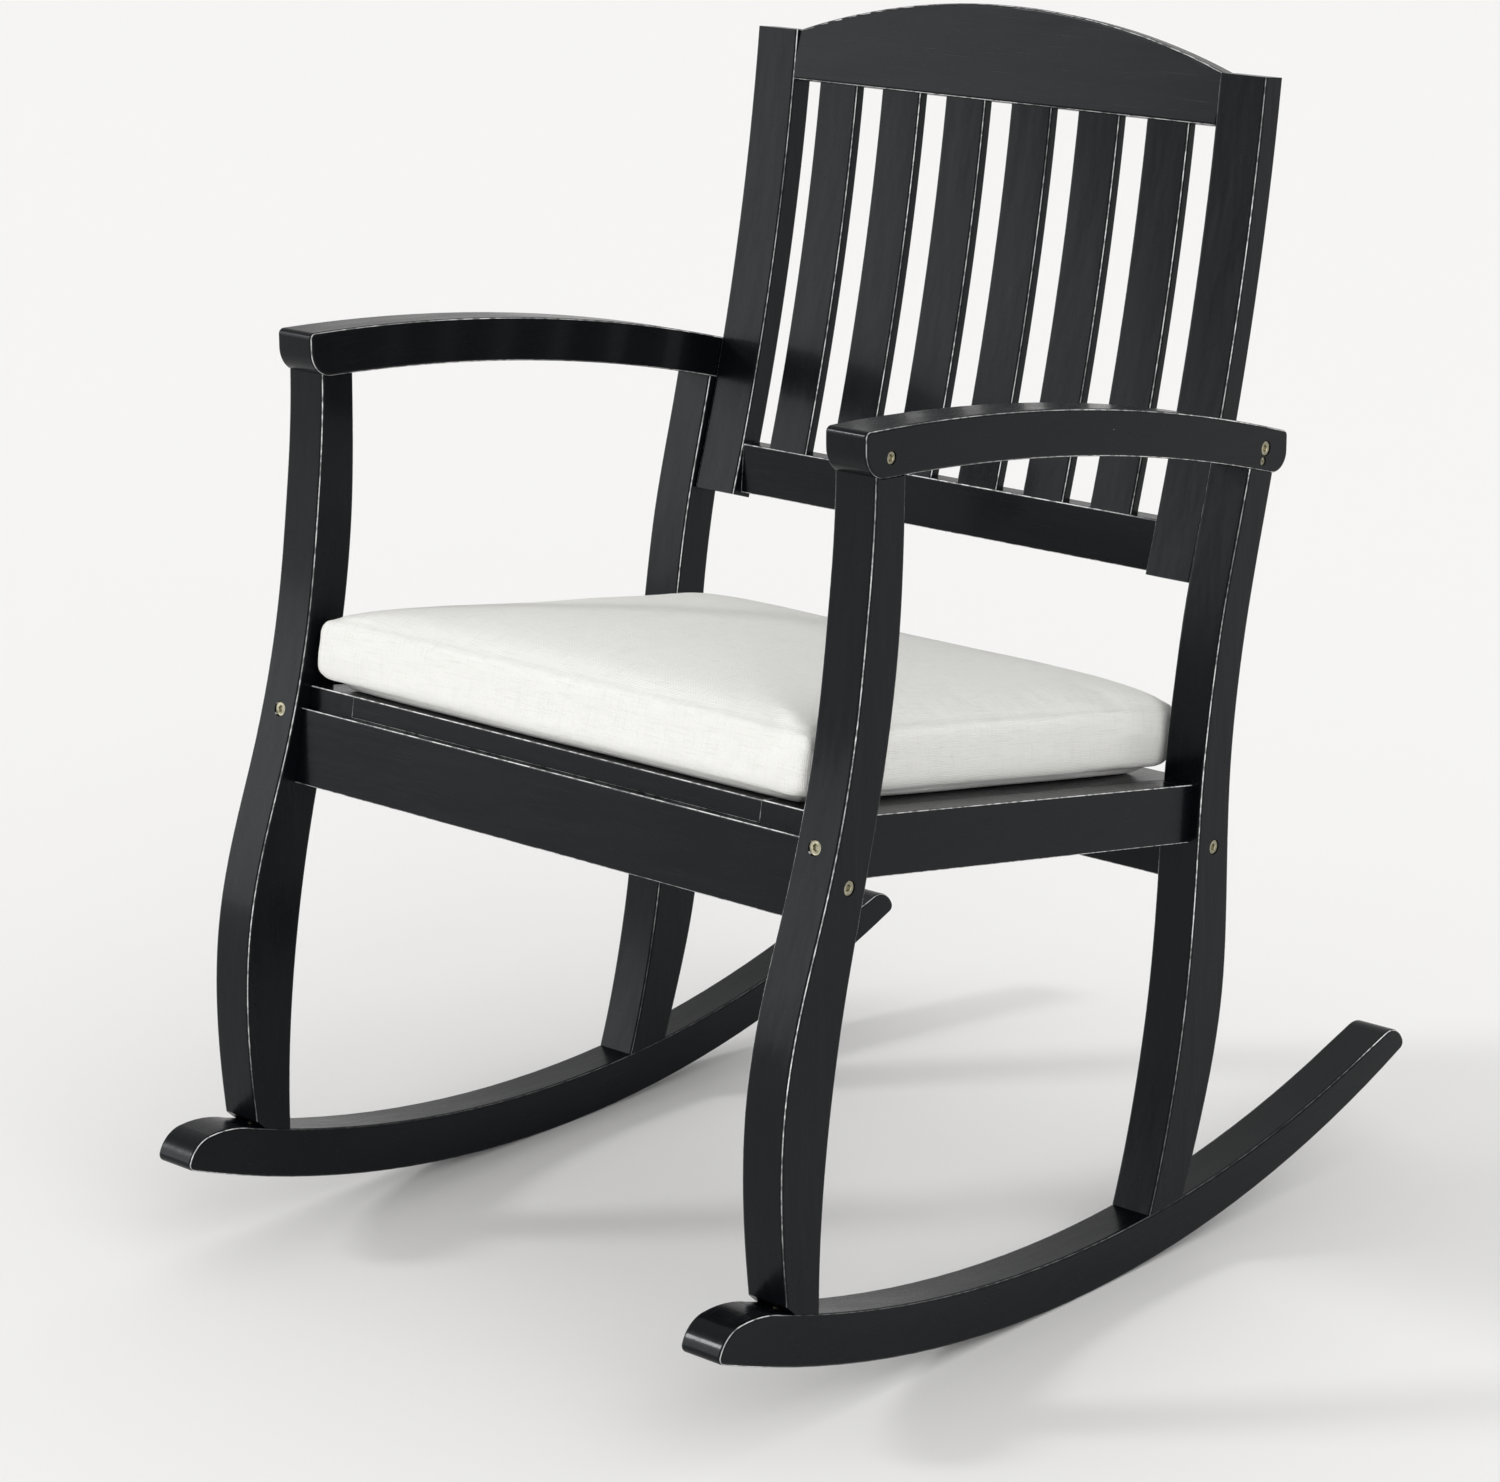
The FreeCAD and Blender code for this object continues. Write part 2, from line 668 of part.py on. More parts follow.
runners, front_legs, rear_legs, arms, stiles = {}, {}, {}, {}, {}
for word, side in SIDES.items():
    runner_edge = runner_blank("runner_edge_" + word, side)
    arm_edge = arm_blank("arm_edge_" + word, side)
    runners[side] = soften(runner_blank("runner_blank_" + word, side), ACROSS, "Sheet.arris", 0)
    arms[side] = soften(arm_blank("arm_blank_" + word, side), ACROSS, "Sheet.arris", 0)
    rough_front = front_leg_blank("front_leg_rough_" + word, side)
    soften(rough_front, ACROSS, "Sheet.arris", 2 * size("post_breadth"))
    rough_rear = rear_leg_blank("rear_leg_rough_" + word, side)
    soften(rough_rear, ACROSS, "Sheet.arris", 2 * size("post_breadth"))
    front_legs[side] = cut("front_leg_blank_" + word, rough_front, [runner_edge, arm_edge])
    rear_legs[side] = cut("rear_leg_blank_" + word, rough_rear, [runner_edge, arm_edge])
    stiles[side] = curved_board("stile_blank_" + word, back_angle(BACK_FOOT.y), back_angle(BACK_TOP.y), 0,
                                size("stile_thickness"), "Sheet.stile_width", STILE_X[side])
    soften(stiles[side], ACROSS, "Sheet.arris", 2 * size("stile_thickness"))
holes = {}


def drill(piece, tools):
    holes.setdefault(piece, []).extend(tools)


def finish(label, blank):
    """Cuts a piece's joints and keeps it."""
    keep(cut(label, blank, holes[label]), label)


def foot_relief(name, side):
    """A cutter that slopes the front of a front leg back to the runner's top."""
    back, rise = Vector(0, 1, 0), Vector(0, 0, 1)
    foot_y = FRONT_LEG_Y + size("front_leg_sweep") * FRONT_LEG_SHARES[0][1] + size("foot_relief_reach")
    low = span(runners[side].Shape, Vector(POST_MIDDLE * side, foot_y, 0), rise)[1]
    high = span(front_legs[side].Shape, low + rise * size("foot_relief_rise"), back)[0]
    below, above = low * 2 - high, high * 2 - low
    pen = Pen((below.y, below.z)).line((above.y, above.z)).line((above.y, below.z))
    body = pad(name, "YZ_Plane", pen.close(), "Sheet.post_breadth")
    bind(body, **{"Placement.Base.x": side_place(side)})
    return body


for word, side in SIDES.items():
    drill("front_leg_" + word, [foot_relief("foot_relief_" + word, side)])


# Joints between the rails and the legs


SIDE_RAIL_X = HALF_WIDTH - size("side_rail_inset") - size("side_rail_thickness") / 2
SIDE_RAIL_UP = size("side_rail_proud") - size("side_rail_height") / 2
RAIL_UP = -size("seat_thickness") - size("rail_height") / 2
FRONT_RAIL_ALONG = size("rail_thickness") / 2 - size("front_rail_lead")
REAR_RAIL_ALONG = size("seat_length") - size("rail_thickness") / 2
HEAD_DEPTH = size("bolt_sink") + size("bolt_head_height")

rail_bolts = {"side_rail_front_bolts": [], "side_rail_rear_bolts": [], "front_rail_bolts": [],
              "rear_rail_bolts": []}
rail_nuts = []
rail_dowels = []
side_rails = {}
cleat_spans = {}


def rail_end_bolt(kind, word, leg, piece, rail, point, direction, nut_direction, nut_depth):
    """A bolt through a leg into the end of a rail, with its barrel nut in the rail."""
    enter, leave = span(leg.Shape, point, direction)
    head = enter + direction * size("bolt_sink")
    name = "%s_%s" % (kind, word)
    length = "%.3f + Sheet.bolt_grip" % (leave - head).Length
    rail_bolts[kind].append(bolt(name, head, direction, "bolt_head", length))
    tools = bolt_holes(name, head, direction, "bolt_head", length, "bolt_sink")
    nut = leave + direction * size("nut_set_in")
    rail_nuts.append(barrel_nut(name + "_nut", nut, nut_direction, point, direction))
    drill(piece, tools)
    drill(rail, tools + [barrel_nut_hole(name, nut, nut_direction, nut_depth)])
    return leave


for word, side in SIDES.items():
    inward = ACROSS * -side
    rail_x = SIDE_RAIL_X * side
    through = seat_point(rail_x, 0, SIDE_RAIL_UP)
    side_label = "side_rail_" + word
    nut_depth = "Sheet.side_rail_thickness / 2"
    front_face = rail_end_bolt("side_rail_front_bolts", word, front_legs[side], "front_leg_" + word,
                               side_label, through, ALONG, inward, nut_depth)
    rear_face = rail_end_bolt("side_rail_rear_bolts", word, rear_legs[side], "rear_leg_" + word,
                              side_label, through, ALONG * -1, inward, nut_depth)
    begin = (span(front_legs[side].Shape, through, ALONG)[0] - through).dot(ALONG)
    finish_at = (span(rear_legs[side].Shape, through, ALONG)[1] - through).dot(ALONG)
    begin = (begin + (front_face - through).dot(ALONG)) / 2
    finish_at = (finish_at + (rear_face - through).dot(ALONG)) / 2
    rough = box("side_rail_rough_" + word, "Sheet.side_rail_thickness", "%.3f" % (finish_at - begin),
                "Sheet.side_rail_height",
                seat_placement(rail_x - size("side_rail_thickness") / 2, begin,
                               size("side_rail_proud") - size("side_rail_height")))
    side_rails[side] = cut("side_rail_blank_" + word, ease("side_rail_eased_" + word, rough, ALONG),
                           [front_legs[side], rear_legs[side]])
    cleat_spans[side] = (begin, finish_at)
    for kind, rail, leg, along in (
            ("front_rail_bolts", "front_rail", front_legs[side], FRONT_RAIL_ALONG),
            ("rear_rail_bolts", "rear_rail", rear_legs[side], REAR_RAIL_ALONG)):
        point = seat_point(POST_MIDDLE * side, along, RAIL_UP)
        piece = ("front_leg_" if rail == "front_rail" else "rear_leg_") + word
        out_of_back = ALONG if rail == "front_rail" else ALONG * -1
        rail_end_bolt(kind, word, leg, piece, rail, point, inward, out_of_back, "Sheet.rail_thickness / 2")
        pin = seat_point(POST_INNER * side, along, RAIL_UP - size("rail_height") * RAIL_PIN_SHARE)
        pin_name = "%s_pin_%s" % (rail, word)
        rail_dowels.append(dowel(pin_name, pin, inward))
        drill(piece, [dowel_hole(pin_name, pin, inward)])
        drill(rail, [dowel_hole(pin_name, pin, inward)])

cross_rails = {}
for rail, along in (("front_rail", FRONT_RAIL_ALONG), ("rear_rail", REAR_RAIL_ALONG)):
    board = box(rail + "_board", "Sheet.overall_width - 2 * Sheet.post_breadth",
                "Sheet.rail_thickness", "Sheet.rail_height",
                seat_placement(-POST_INNER, along - size("rail_thickness") / 2,
                               RAIL_UP - size("rail_height") / 2))
    cross_rails[rail] = ease(rail + "_blank", board, ACROSS)

# Joints between the legs and the runners: a bolt from below into an insert, and a dowel beside it


def foot_middle(line, sweep, shares, leg_height):
    """Middle of a leg, from front to back, where it stands on its runner."""
    foot = line + sweep * across_leg(shares, 0, MIDDLE_SHARE)
    rise = (rocking_height(foot) + size("runner_depth")) / leg_height
    return line + sweep * across_leg(shares, rise, MIDDLE_SHARE)


FRONT_FOOT_Y = foot_middle(FRONT_LEG_Y, size("front_leg_sweep"), FRONT_LEG_SHARES,
                           size("arm_front_height"))
REAR_FOOT_Y = foot_middle(REAR_LEG_Y, size("rear_leg_sweep"), REAR_LEG_SHARES,
                          size("arm_front_height") - size("arm_fall"))
foot_bolts, foot_inserts, foot_dowels = [], [], []
for word, side in SIDES.items():
    for piece, middle, turn in (("front_leg_", FRONT_FOOT_Y, 1), ("rear_leg_", REAR_FOOT_Y, -1)):
        name = piece + "foot_" + word
        place = Vector(POST_MIDDLE * side, middle - turn * size("foot_spacing") / 2, 0)
        rise = Vector(0, 0, 1)
        floor = span(runners[side].Shape, place, rise)[0]
        head = floor + rise * size("foot_bolt_sink")
        foot_bolts.append(bolt(name, head, rise, "bolt_head", "Sheet.foot_bolt_length"))
        tools = bolt_holes(name, head, rise, "bolt_head", "Sheet.foot_bolt_length", "foot_bolt_sink")
        tip = head + rise * size("foot_bolt_length")
        sleeve = tip - rise * size("insert_length")
        blank = cylinder(name + "_insert_blank", sleeve, rise, "Sheet.insert_outer / 2",
                         "Sheet.insert_length")
        foot_inserts.append(cut(name + "_insert", blank, [tools[0]]))
        seat = cylinder(name + "_insert_hole", sleeve - rise * size("fit_clearance"), rise,
                        "Sheet.insert_outer / 2 + Sheet.hole_clearance",
                        "Sheet.insert_length + 2 * Sheet.fit_clearance")
        drill("runner_" + word, tools)
        drill(piece + word, tools + [seat])
        pin_place = Vector(place.x, middle + turn * size("foot_spacing") / 2, 0)
        pin = span(runners[side].Shape, pin_place, rise)[1]
        foot_dowels.append(dowel(name + "_pin", pin, rise, "dowel", "foot_dowel_length"))
        hole = dowel_hole(name + "_pin", pin, rise, "dowel", "foot_dowel_length")
        drill("runner_" + word, [hole])
        drill(piece + word, [hole])

# Joints of the armrests: a stout dowel locked by a bolt at the front, and a bolt and a screw into the
# stile at the back


arm_front_bolts, arm_rear_bolts, arm_rear_screws = [], [], []
arm_dowels, arm_pins, stile_inserts, stile_dowels = [], [], [], []
ARM_REAR_BOLT = "Sheet.post_breadth - Sheet.bolt_sink + Sheet.arm_rear_bolt_grip"
ARM_SCREW = "Sheet.post_breadth - Sheet.bolt_sink + Sheet.arm_screw_grip"
for word, side in SIDES.items():
    inward = ACROSS * -side
    rise = Vector(0, 0, 1)
    middle = FRONT_LEG_Y + size("front_leg_sweep") * across_leg(FRONT_LEG_SHARES, 1, MIDDLE_SHARE)
    joint = span(front_legs[side].Shape, Vector(POST_MIDDLE * side, middle, 0), rise)[1]
    name = "arm_front_" + word
    lock = joint + rise * (size("arm_depth") * ARM_LOCK_SHARE)
    head = Vector(side * (HALF_WIDTH - size("bolt_sink")), lock.y, lock.z)
    arm_front_bolts.append(bolt(name, head, inward, "arm_bolt_head", "Sheet.arm_bolt_length"))
    lock_tools = bolt_holes(name, head, inward, "arm_bolt_head", "Sheet.arm_bolt_length", "bolt_sink")
    whole_dowel = dowel(name + "_dowel_blank", joint, rise, "arm_dowel", "arm_dowel_length")
    arm_dowels.append(cut(name + "_dowel", whole_dowel, [lock_tools[0]]))
    hole = dowel_hole(name + "_dowel", joint, rise, "arm_dowel", "arm_dowel_length")
    drill("armrest_" + word, lock_tools + [hole])
    drill("front_leg_" + word, [hole])

    under = arm_height(BACK_FOOT_Y + size("stile_thickness") * 2, size("arm_depth"))
    height = under + size("arm_rear_bolt_rise")
    middle = back_point(back_angle(height), size("stile_thickness") / 2)
    head = Vector(side * (HALF_WIDTH - size("bolt_sink")), middle[0], height)
    name = "arm_rear_" + word
    arm_rear_bolts.append(bolt(name, head, inward, "bolt_head", ARM_REAR_BOLT))
    tools = bolt_holes(name, head, inward, "bolt_head", ARM_REAR_BOLT, "bolt_sink")
    sleeve = head + inward * (size("post_breadth") - size("bolt_sink") + size("arm_rear_bolt_grip"))
    sleeve = sleeve - inward * size("insert_length")
    blank = cylinder(name + "_insert_blank", sleeve, inward, "Sheet.insert_outer / 2", "Sheet.insert_length")
    stile_inserts.append(cut(name + "_insert", blank, [tools[0]]))
    seat = cylinder(name + "_insert_hole", sleeve - inward * size("fit_clearance"), inward,
                    "Sheet.insert_outer / 2 + Sheet.hole_clearance",
                    "Sheet.insert_length + 2 * Sheet.fit_clearance")
    point = head + Vector(0, -size("arm_screw_lead"), -size("arm_screw_drop"))
    screw_name = "arm_screw_" + word
    arm_rear_screws.append(screw(screw_name, point, inward, ARM_SCREW))
    screw_tools = screw_holes(screw_name, point, inward, ARM_SCREW)
    drill("armrest_" + word, tools + screw_tools)
    drill("back_stile_" + word, tools + screw_tools + [seat])

    middle = REAR_LEG_Y + size("rear_leg_sweep") * across_leg(REAR_LEG_SHARES, 1, REAR_PIN_SHARE)
    pin = span(rear_legs[side].Shape, Vector(POST_MIDDLE * side, middle, 0), rise)[1]
    name = "arm_pin_" + word
    arm_pins.append(dowel(name, pin, rise, "dowel", "foot_dowel_length"))
    hole = dowel_hole(name, pin, rise, "dowel", "foot_dowel_length")
    drill("armrest_" + word, [hole])
    drill("rear_leg_" + word, [hole])

    for number, share in enumerate(STILE_FOOT_SHARES, start=1):
        angle = back_angle(BACK_FOOT.y + size("stile_drop") * share)
        y, z = back_point(angle, size("stile_thickness") / 2)
        name = "stile_pin_%s_%d" % (word, number)
        pin = Vector(POST_INNER * side, y, z)
        stile_dowels.append(dowel(name, pin, inward))
        drill("back_stile_" + word, [dowel_hole(name, pin, inward)])
        drill("rear_leg_" + word, [dowel_hole(name, pin, inward)])

# Backrest: crest and lower rail doweled between the stiles, slats housed in both


def crest_point(x, up, back):
    across_grain = Vector(0, math.cos(CREST_TILT), -math.sin(CREST_TILT))
    along_grain = Vector(0, math.sin(CREST_TILT), math.cos(CREST_TILT))
    return Vector(x, CREST_FOOT[0], CREST_FOOT[1]) + along_grain * up + across_grain * back


def back_rail_point(x, down, back):
    across_grain = Vector(0, math.cos(RAIL_TILT), -math.sin(RAIL_TILT))
    along_grain = Vector(0, math.sin(RAIL_TILT), math.cos(RAIL_TILT))
    return Vector(x, RAIL_HEAD[0], RAIL_HEAD[1]) - along_grain * down + across_grain * back


back_dowels = []
for word, side in SIDES.items():
    for number, share in enumerate(PAIR_SHARES, start=1):
        for label, pin in (
                ("crest_rail", crest_point(STILE_INNER * side, size("crest_end_height") * share,
                                           size("crest_thickness") / 2)),
                ("back_bottom_rail", back_rail_point(STILE_INNER * side, size("back_rail_height") * share,
                                                     size("back_rail_thickness") * BACK_PIN_SHARE))):
            name = "%s_pin_%s_%d" % (label, word, number)
            back_dowels.append(dowel(name, pin, ACROSS))
            drill(label, [dowel_hole(name, pin, ACROSS)])
            drill("back_stile_" + word, [dowel_hole(name, pin, ACROSS)])

slat_room = 2 * STILE_INNER - size("back_slat_count") * size("back_slat_width")
slat_gap = slat_room / (size("back_slat_count") + 1)
tenon_turn = size("back_slat_tenon") / BACK_RADIUS
clear_turn = size("fit_clearance") / BACK_RADIUS
back_slats = []
for number in range(int(size("back_slat_count"))):
    left_edge = -STILE_INNER + slat_gap + number * (size("back_slat_width") + slat_gap)
    name = "back_slat_%d" % (number + 1)
    slat = curved_board(name, RAIL_ANGLE - tenon_turn, CREST_ANGLE + tenon_turn, size("back_slat_setback"),
                        size("back_slat_thickness"), "Sheet.back_slat_width", "%.3f" % left_edge)
    soften(slat, ACROSS, "Sheet.arris", size("back_slat_width"))
    back_slats.append((slat, name))
    mortise = curved_board(name + "_mortise", RAIL_ANGLE - tenon_turn - clear_turn,
                           CREST_ANGLE + tenon_turn + clear_turn,
                           size("back_slat_setback") - size("fit_clearance"),
                           size("back_slat_thickness") + 2 * size("fit_clearance"),
                           "Sheet.back_slat_width + 2 * Sheet.fit_clearance",
                           "%.3f - Sheet.fit_clearance" % left_edge)
    drill("crest_rail", [mortise])
    drill("back_bottom_rail", [mortise])

back_rail_board = box("back_rail_board", "%.3f" % (2 * STILE_INNER), "Sheet.back_rail_thickness",
                      "Sheet.back_rail_height",
                      FreeCAD.Placement(back_rail_point(-STILE_INNER, size("back_rail_height"), 0),
                                        FreeCAD.Rotation(ACROSS, -size("back_rail_tilt"))))
back_rail_blank = ease("back_rail_blank", back_rail_board, ACROSS)

# Seat panel: two side boards, end boards doweled between them, and slats housed in slots


SEAT_HALF = POST_INNER - size("seat_side_gap")
SEAT_INNER = SEAT_HALF - size("seat_side_width")
SEAT_BASE = -size("seat_thickness")
seat_sides = {}
for word, side in SIDES.items():
    edge = SEAT_INNER if side > 0 else -SEAT_HALF
    board = box("seat_side_board_" + word, "Sheet.seat_side_width", "Sheet.seat_length",
                "Sheet.seat_thickness", seat_placement(edge, 0, SEAT_BASE))
    seat_sides[side] = ease("seat_side_blank_" + word, board, ALONG)

seat_ends = {}
seat_dowels = []
seat_end_starts = {"seat_front_board": 0, "seat_rear_board": size("seat_length") - size("seat_end_width")}
for label, along in seat_end_starts.items():
    board = box(label + "_board", "%.3f" % (2 * SEAT_INNER), "Sheet.seat_end_width",
                "Sheet.seat_thickness", seat_placement(-SEAT_INNER, along, SEAT_BASE))
    seat_ends[label] = ease(label + "_blank", board, ACROSS)
    for word, side in SIDES.items():
        for number, share in enumerate(PAIR_SHARES, start=1):
            pin = seat_point(SEAT_INNER * side, along + size("seat_end_width") * share, SEAT_BASE / 2)
            name = "%s_pin_%s_%d" % (label, word, number)
            seat_dowels.append(dowel(name, pin, ACROSS))
            drill(label, [dowel_hole(name, pin, ACROSS)])
            drill("seat_side_" + word, [dowel_hole(name, pin, ACROSS)])

deck_room = size("seat_length") - 2 * size("seat_end_width")
deck_room -= size("seat_slat_count") * size("seat_slat_width")
deck_gap = deck_room / (size("seat_slat_count") + 1)
slat_base = SEAT_BASE / 2 - size("seat_slat_thickness") / 2
seat_slats = []
for number in range(int(size("seat_slat_count"))):
    along = size("seat_end_width") + deck_gap + number * (size("seat_slat_width") + deck_gap)
    reach = SEAT_INNER + size("seat_slat_housing")
    name = "seat_slat_%d" % (number + 1)
    slat = box(name, "%.3f" % (2 * reach), "Sheet.seat_slat_width", "Sheet.seat_slat_thickness",
               seat_placement(-reach, along, slat_base))
    seat_slats.append((slat, name))
    slack = size("fit_clearance")
    slot = box(name + "_slot", "%.3f + 2 * Sheet.fit_clearance" % (2 * reach),
               "Sheet.seat_slat_width + 2 * Sheet.fit_clearance",
               "Sheet.seat_slat_thickness + 2 * Sheet.fit_clearance",
               seat_placement(-reach - slack, along - slack, slat_base - slack))
    for word in SIDES:
        drill("seat_side_" + word, [slot])

# Cleats inside the side rails carry the seat panel; screws go through them into the panel and the rails


cleats = {}
cleat_screws, seat_screws = [], []
for word, side in SIDES.items():
    rail_face = SIDE_RAIL_X - size("side_rail_thickness") / 2
    cleat_start = cleat_spans[side][0] + size("cleat_end_gap")
    cleat_length = cleat_spans[side][1] - size("cleat_end_gap") - cleat_start
    breadth = rail_face - SEAT_HALF + size("cleat_width")
    edge = rail_face - breadth if side > 0 else -rail_face
    cleats[side] = box("cleat_blank_" + word, "%.3f" % breadth, "%.3f" % cleat_length, "Sheet.cleat_width",
                       seat_placement(edge, cleat_start, SEAT_BASE - size("cleat_width")))
    for number, share in enumerate(CLEAT_SCREW_SHARES, start=1):
        along = cleat_start + cleat_length * share
        name = "seat_screw_%s_%d" % (word, number)
        point = seat_point(side * (SEAT_HALF - size("cleat_width") / 2), along,
                           SEAT_BASE - size("cleat_width"))
        seat_screws.append(screw(name, point, UP, "Sheet.screw_length"))
        tools = screw_holes(name, point, UP, "Sheet.screw_length")
        drill("seat_cleat_" + word, tools)
        drill("seat_side_" + word, tools)
        name = "cleat_screw_%s_%d" % (word, number)
        outward = ACROSS * side
        point = seat_point(side * (rail_face - breadth), along + cleat_length * CLEAT_STEP_SHARE,
                           SEAT_BASE - size("cleat_width") / 2)
        cleat_screws.append(screw(name, point, outward, "Sheet.screw_length"))
        tools = screw_holes(name, point, outward, "Sheet.screw_length")
        drill("seat_cleat_" + word, tools)
        drill("side_rail_" + word, tools)

# Cushion: rounded layers from the underside to the crown, each one tilted a little towards the front


CUSHION_HEIGHT = size("cushion_edge_height") + size("cushion_crown")
CUSHION_HALF_WIDTH = POST_INNER - size("cushion_side_gap")
CUSHION_DEPTH = size("seat_length") + size("cushion_overhang") - size("cushion_rear_gap")
CUSHION_MIDDLE = CUSHION_DEPTH / 2 - size("cushion_overhang")


def cushion_layer(height_share, inset_share, corner_share):
    half_width = CUSHION_HALF_WIDTH * (1 - inset_share)
    half_depth = CUSHION_DEPTH / 2 * (1 - inset_share)
    corner = half_depth * corner_share
    bevel = corner * (1 - math.sqrt(0.5))

    def at(x, along):
        up = CUSHION_HEIGHT * height_share + size("cushion_lift")
        up += size("cushion_back_rise") * height_share * along / CUSHION_DEPTH
        return seat_point(x, CUSHION_MIDDLE + along, up)

    edges = []
    for turn_x, turn_y in ((1, 1), (-1, 1), (-1, -1), (1, -1)):
        along_side = at(turn_x * half_width, turn_y * (half_depth - corner))
        bulge = at(turn_x * (half_width - bevel), turn_y * (half_depth - bevel))
        along_end = at(turn_x * (half_width - corner), turn_y * half_depth)
        begin, end = (along_side, along_end) if turn_x == turn_y else (along_end, along_side)
        if edges:
            edges.append(Part.LineSegment(edges[-1].EndPoint, begin))
        edges.append(Part.Arc(begin, bulge, end))
    edges.append(Part.LineSegment(edges[-1].EndPoint, edges[0].StartPoint))
    return Part.Wire([edge.toShape() for edge in edges])


layers = []
for number, shares in enumerate(CUSHION_SHARES, start=1):
    layer = doc.addObject("Part::Feature", "cushion_layer_%d" % number)
    layer.Shape = cushion_layer(*shares)
    layers.append(layer)
cushion = doc.addObject("Part::Loft", "cushion")
cushion.Sections = layers
cushion.Solid = True
cushion.Ruled = True
doc.recompute()

# The finished pieces


for word, side in SIDES.items():
    finish("runner_" + word, runners[side])
    finish("front_leg_" + word, front_legs[side])
    finish("rear_leg_" + word, rear_legs[side])
    finish("armrest_" + word, arms[side])
    finish("side_rail_" + word, side_rails[side])
    finish("seat_side_" + word, seat_sides[side])
    finish("seat_cleat_" + word, cleats[side])
    finish("back_stile_" + word, stiles[side])
for label, blank in cross_rails.items():
    finish(label, blank)
for label, blank in seat_ends.items():
    finish(label, blank)
finish("crest_rail", crest_blank("crest_blank"))
finish("back_bottom_rail", back_rail_blank)
for slat, label in back_slats + seat_slats:
    keep(slat, label)
keep(cushion, "cushion")
for label, bolts in rail_bolts.items():
    group(label, bolts)
group("rail_barrel_nuts", rail_nuts)
group("rail_dowels", rail_dowels)
group("foot_bolts", foot_bolts)
group("foot_inserts", foot_inserts)
group("foot_dowels", foot_dowels)
group("arm_front_bolts", arm_front_bolts)
group("arm_front_dowels", arm_dowels)
group("arm_rear_bolts", arm_rear_bolts)
group("arm_rear_screws", arm_rear_screws)
group("arm_rear_dowels", arm_pins)
group("stile_inserts", stile_inserts)
group("stile_dowels", stile_dowels)
group("back_dowels", back_dowels)
group("seat_dowels", seat_dowels)
group("seat_screws", seat_screws)
group("cleat_screws", cleat_screws)
doc.recompute()

failed = [item.Name for item in doc.Objects if "Invalid" in item.State or "Error" in item.State]
if failed:
    raise RuntimeError("features failed: %s" % ", ".join(failed))
for item in parts:
    if item.Shape.isNull() or not item.Shape.isValid() or not item.Shape.Solids:
        raise RuntimeError("bad shape: %s" % item.Label)

os.makedirs("parts", exist_ok=True)
for item in parts:
    item.Shape.exportStep("parts/%s.step" % item.Label)
print("%d pieces, %d solids" % (len(parts), sum(len(item.Shape.Solids) for item in parts)))
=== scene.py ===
"""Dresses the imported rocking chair: satin black paint, yellow-zinc hardware and a slub linen cushion.

Lengths are in metres and the frame is the chair's own: +Z up, the sitter faces -Y, the sitter's left is +X.
"""

import logging
import math
from collections.abc import Callable, Iterable
from dataclasses import dataclass
from enum import Enum

import bmesh
import bpy
import numpy as np
from mathutils import Matrix, Vector, noise


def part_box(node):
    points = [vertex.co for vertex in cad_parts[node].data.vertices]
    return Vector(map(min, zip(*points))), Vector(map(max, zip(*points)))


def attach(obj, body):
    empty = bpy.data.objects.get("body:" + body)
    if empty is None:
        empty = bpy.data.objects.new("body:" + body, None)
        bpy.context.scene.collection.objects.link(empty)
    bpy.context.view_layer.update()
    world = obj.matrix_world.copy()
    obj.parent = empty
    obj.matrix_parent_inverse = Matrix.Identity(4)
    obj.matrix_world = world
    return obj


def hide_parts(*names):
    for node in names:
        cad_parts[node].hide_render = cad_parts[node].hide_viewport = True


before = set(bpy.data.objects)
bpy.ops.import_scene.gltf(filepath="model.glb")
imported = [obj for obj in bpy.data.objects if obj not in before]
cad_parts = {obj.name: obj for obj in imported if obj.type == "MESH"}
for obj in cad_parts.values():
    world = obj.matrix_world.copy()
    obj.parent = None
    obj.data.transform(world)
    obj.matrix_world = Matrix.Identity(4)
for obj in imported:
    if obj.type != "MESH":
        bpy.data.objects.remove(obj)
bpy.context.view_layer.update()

log = logging.getLogger("rocking_chair")

CHAIR = "chair"
CUSHION = "cushion"
MILLIMETRE = 0.001
MICRON = MILLIMETRE / 1000
SIDES = ("left", "right")
FACING = 0.9
END_PARTS = 50
SHARP_ANGLE = math.radians(28)
Profile = Callable[[float], float]
Ring = tuple[float, Profile]


class Grain(Enum):
    """Direction in which a board's grain and its paint strokes run."""

    ALONG_X = (1, 0, 0)
    ALONG_Y = (0, 1, 0)
    ALONG_Z = (0, 0, 1)


class Arris(Enum):
    """Which edges of a board are the rounded ones."""

    BESIDE_FACES_ACROSS_X = "posts"
    ALONG_THE_BOARD = "rails"


def maths(operation: str, reflected: bool = False) -> Callable[..., "Signal"]:
    """A method of Signal that adds one Math node to its graph.

    Args:
        operation: Blender's name for the operation.
        reflected: Whether the other value comes first, as in 1 - mask.

    Returns:
        The method, which gives the node's result.
    """
    def method(signal: "Signal", *others: "Signal | float") -> "Signal":
        """Result of the operation."""
        values = (*others, signal) if reflected else (signal, *others)
        return signal.graph.get("ShaderNodeMath", {"operation": operation}, dict(enumerate(values)))
    return method


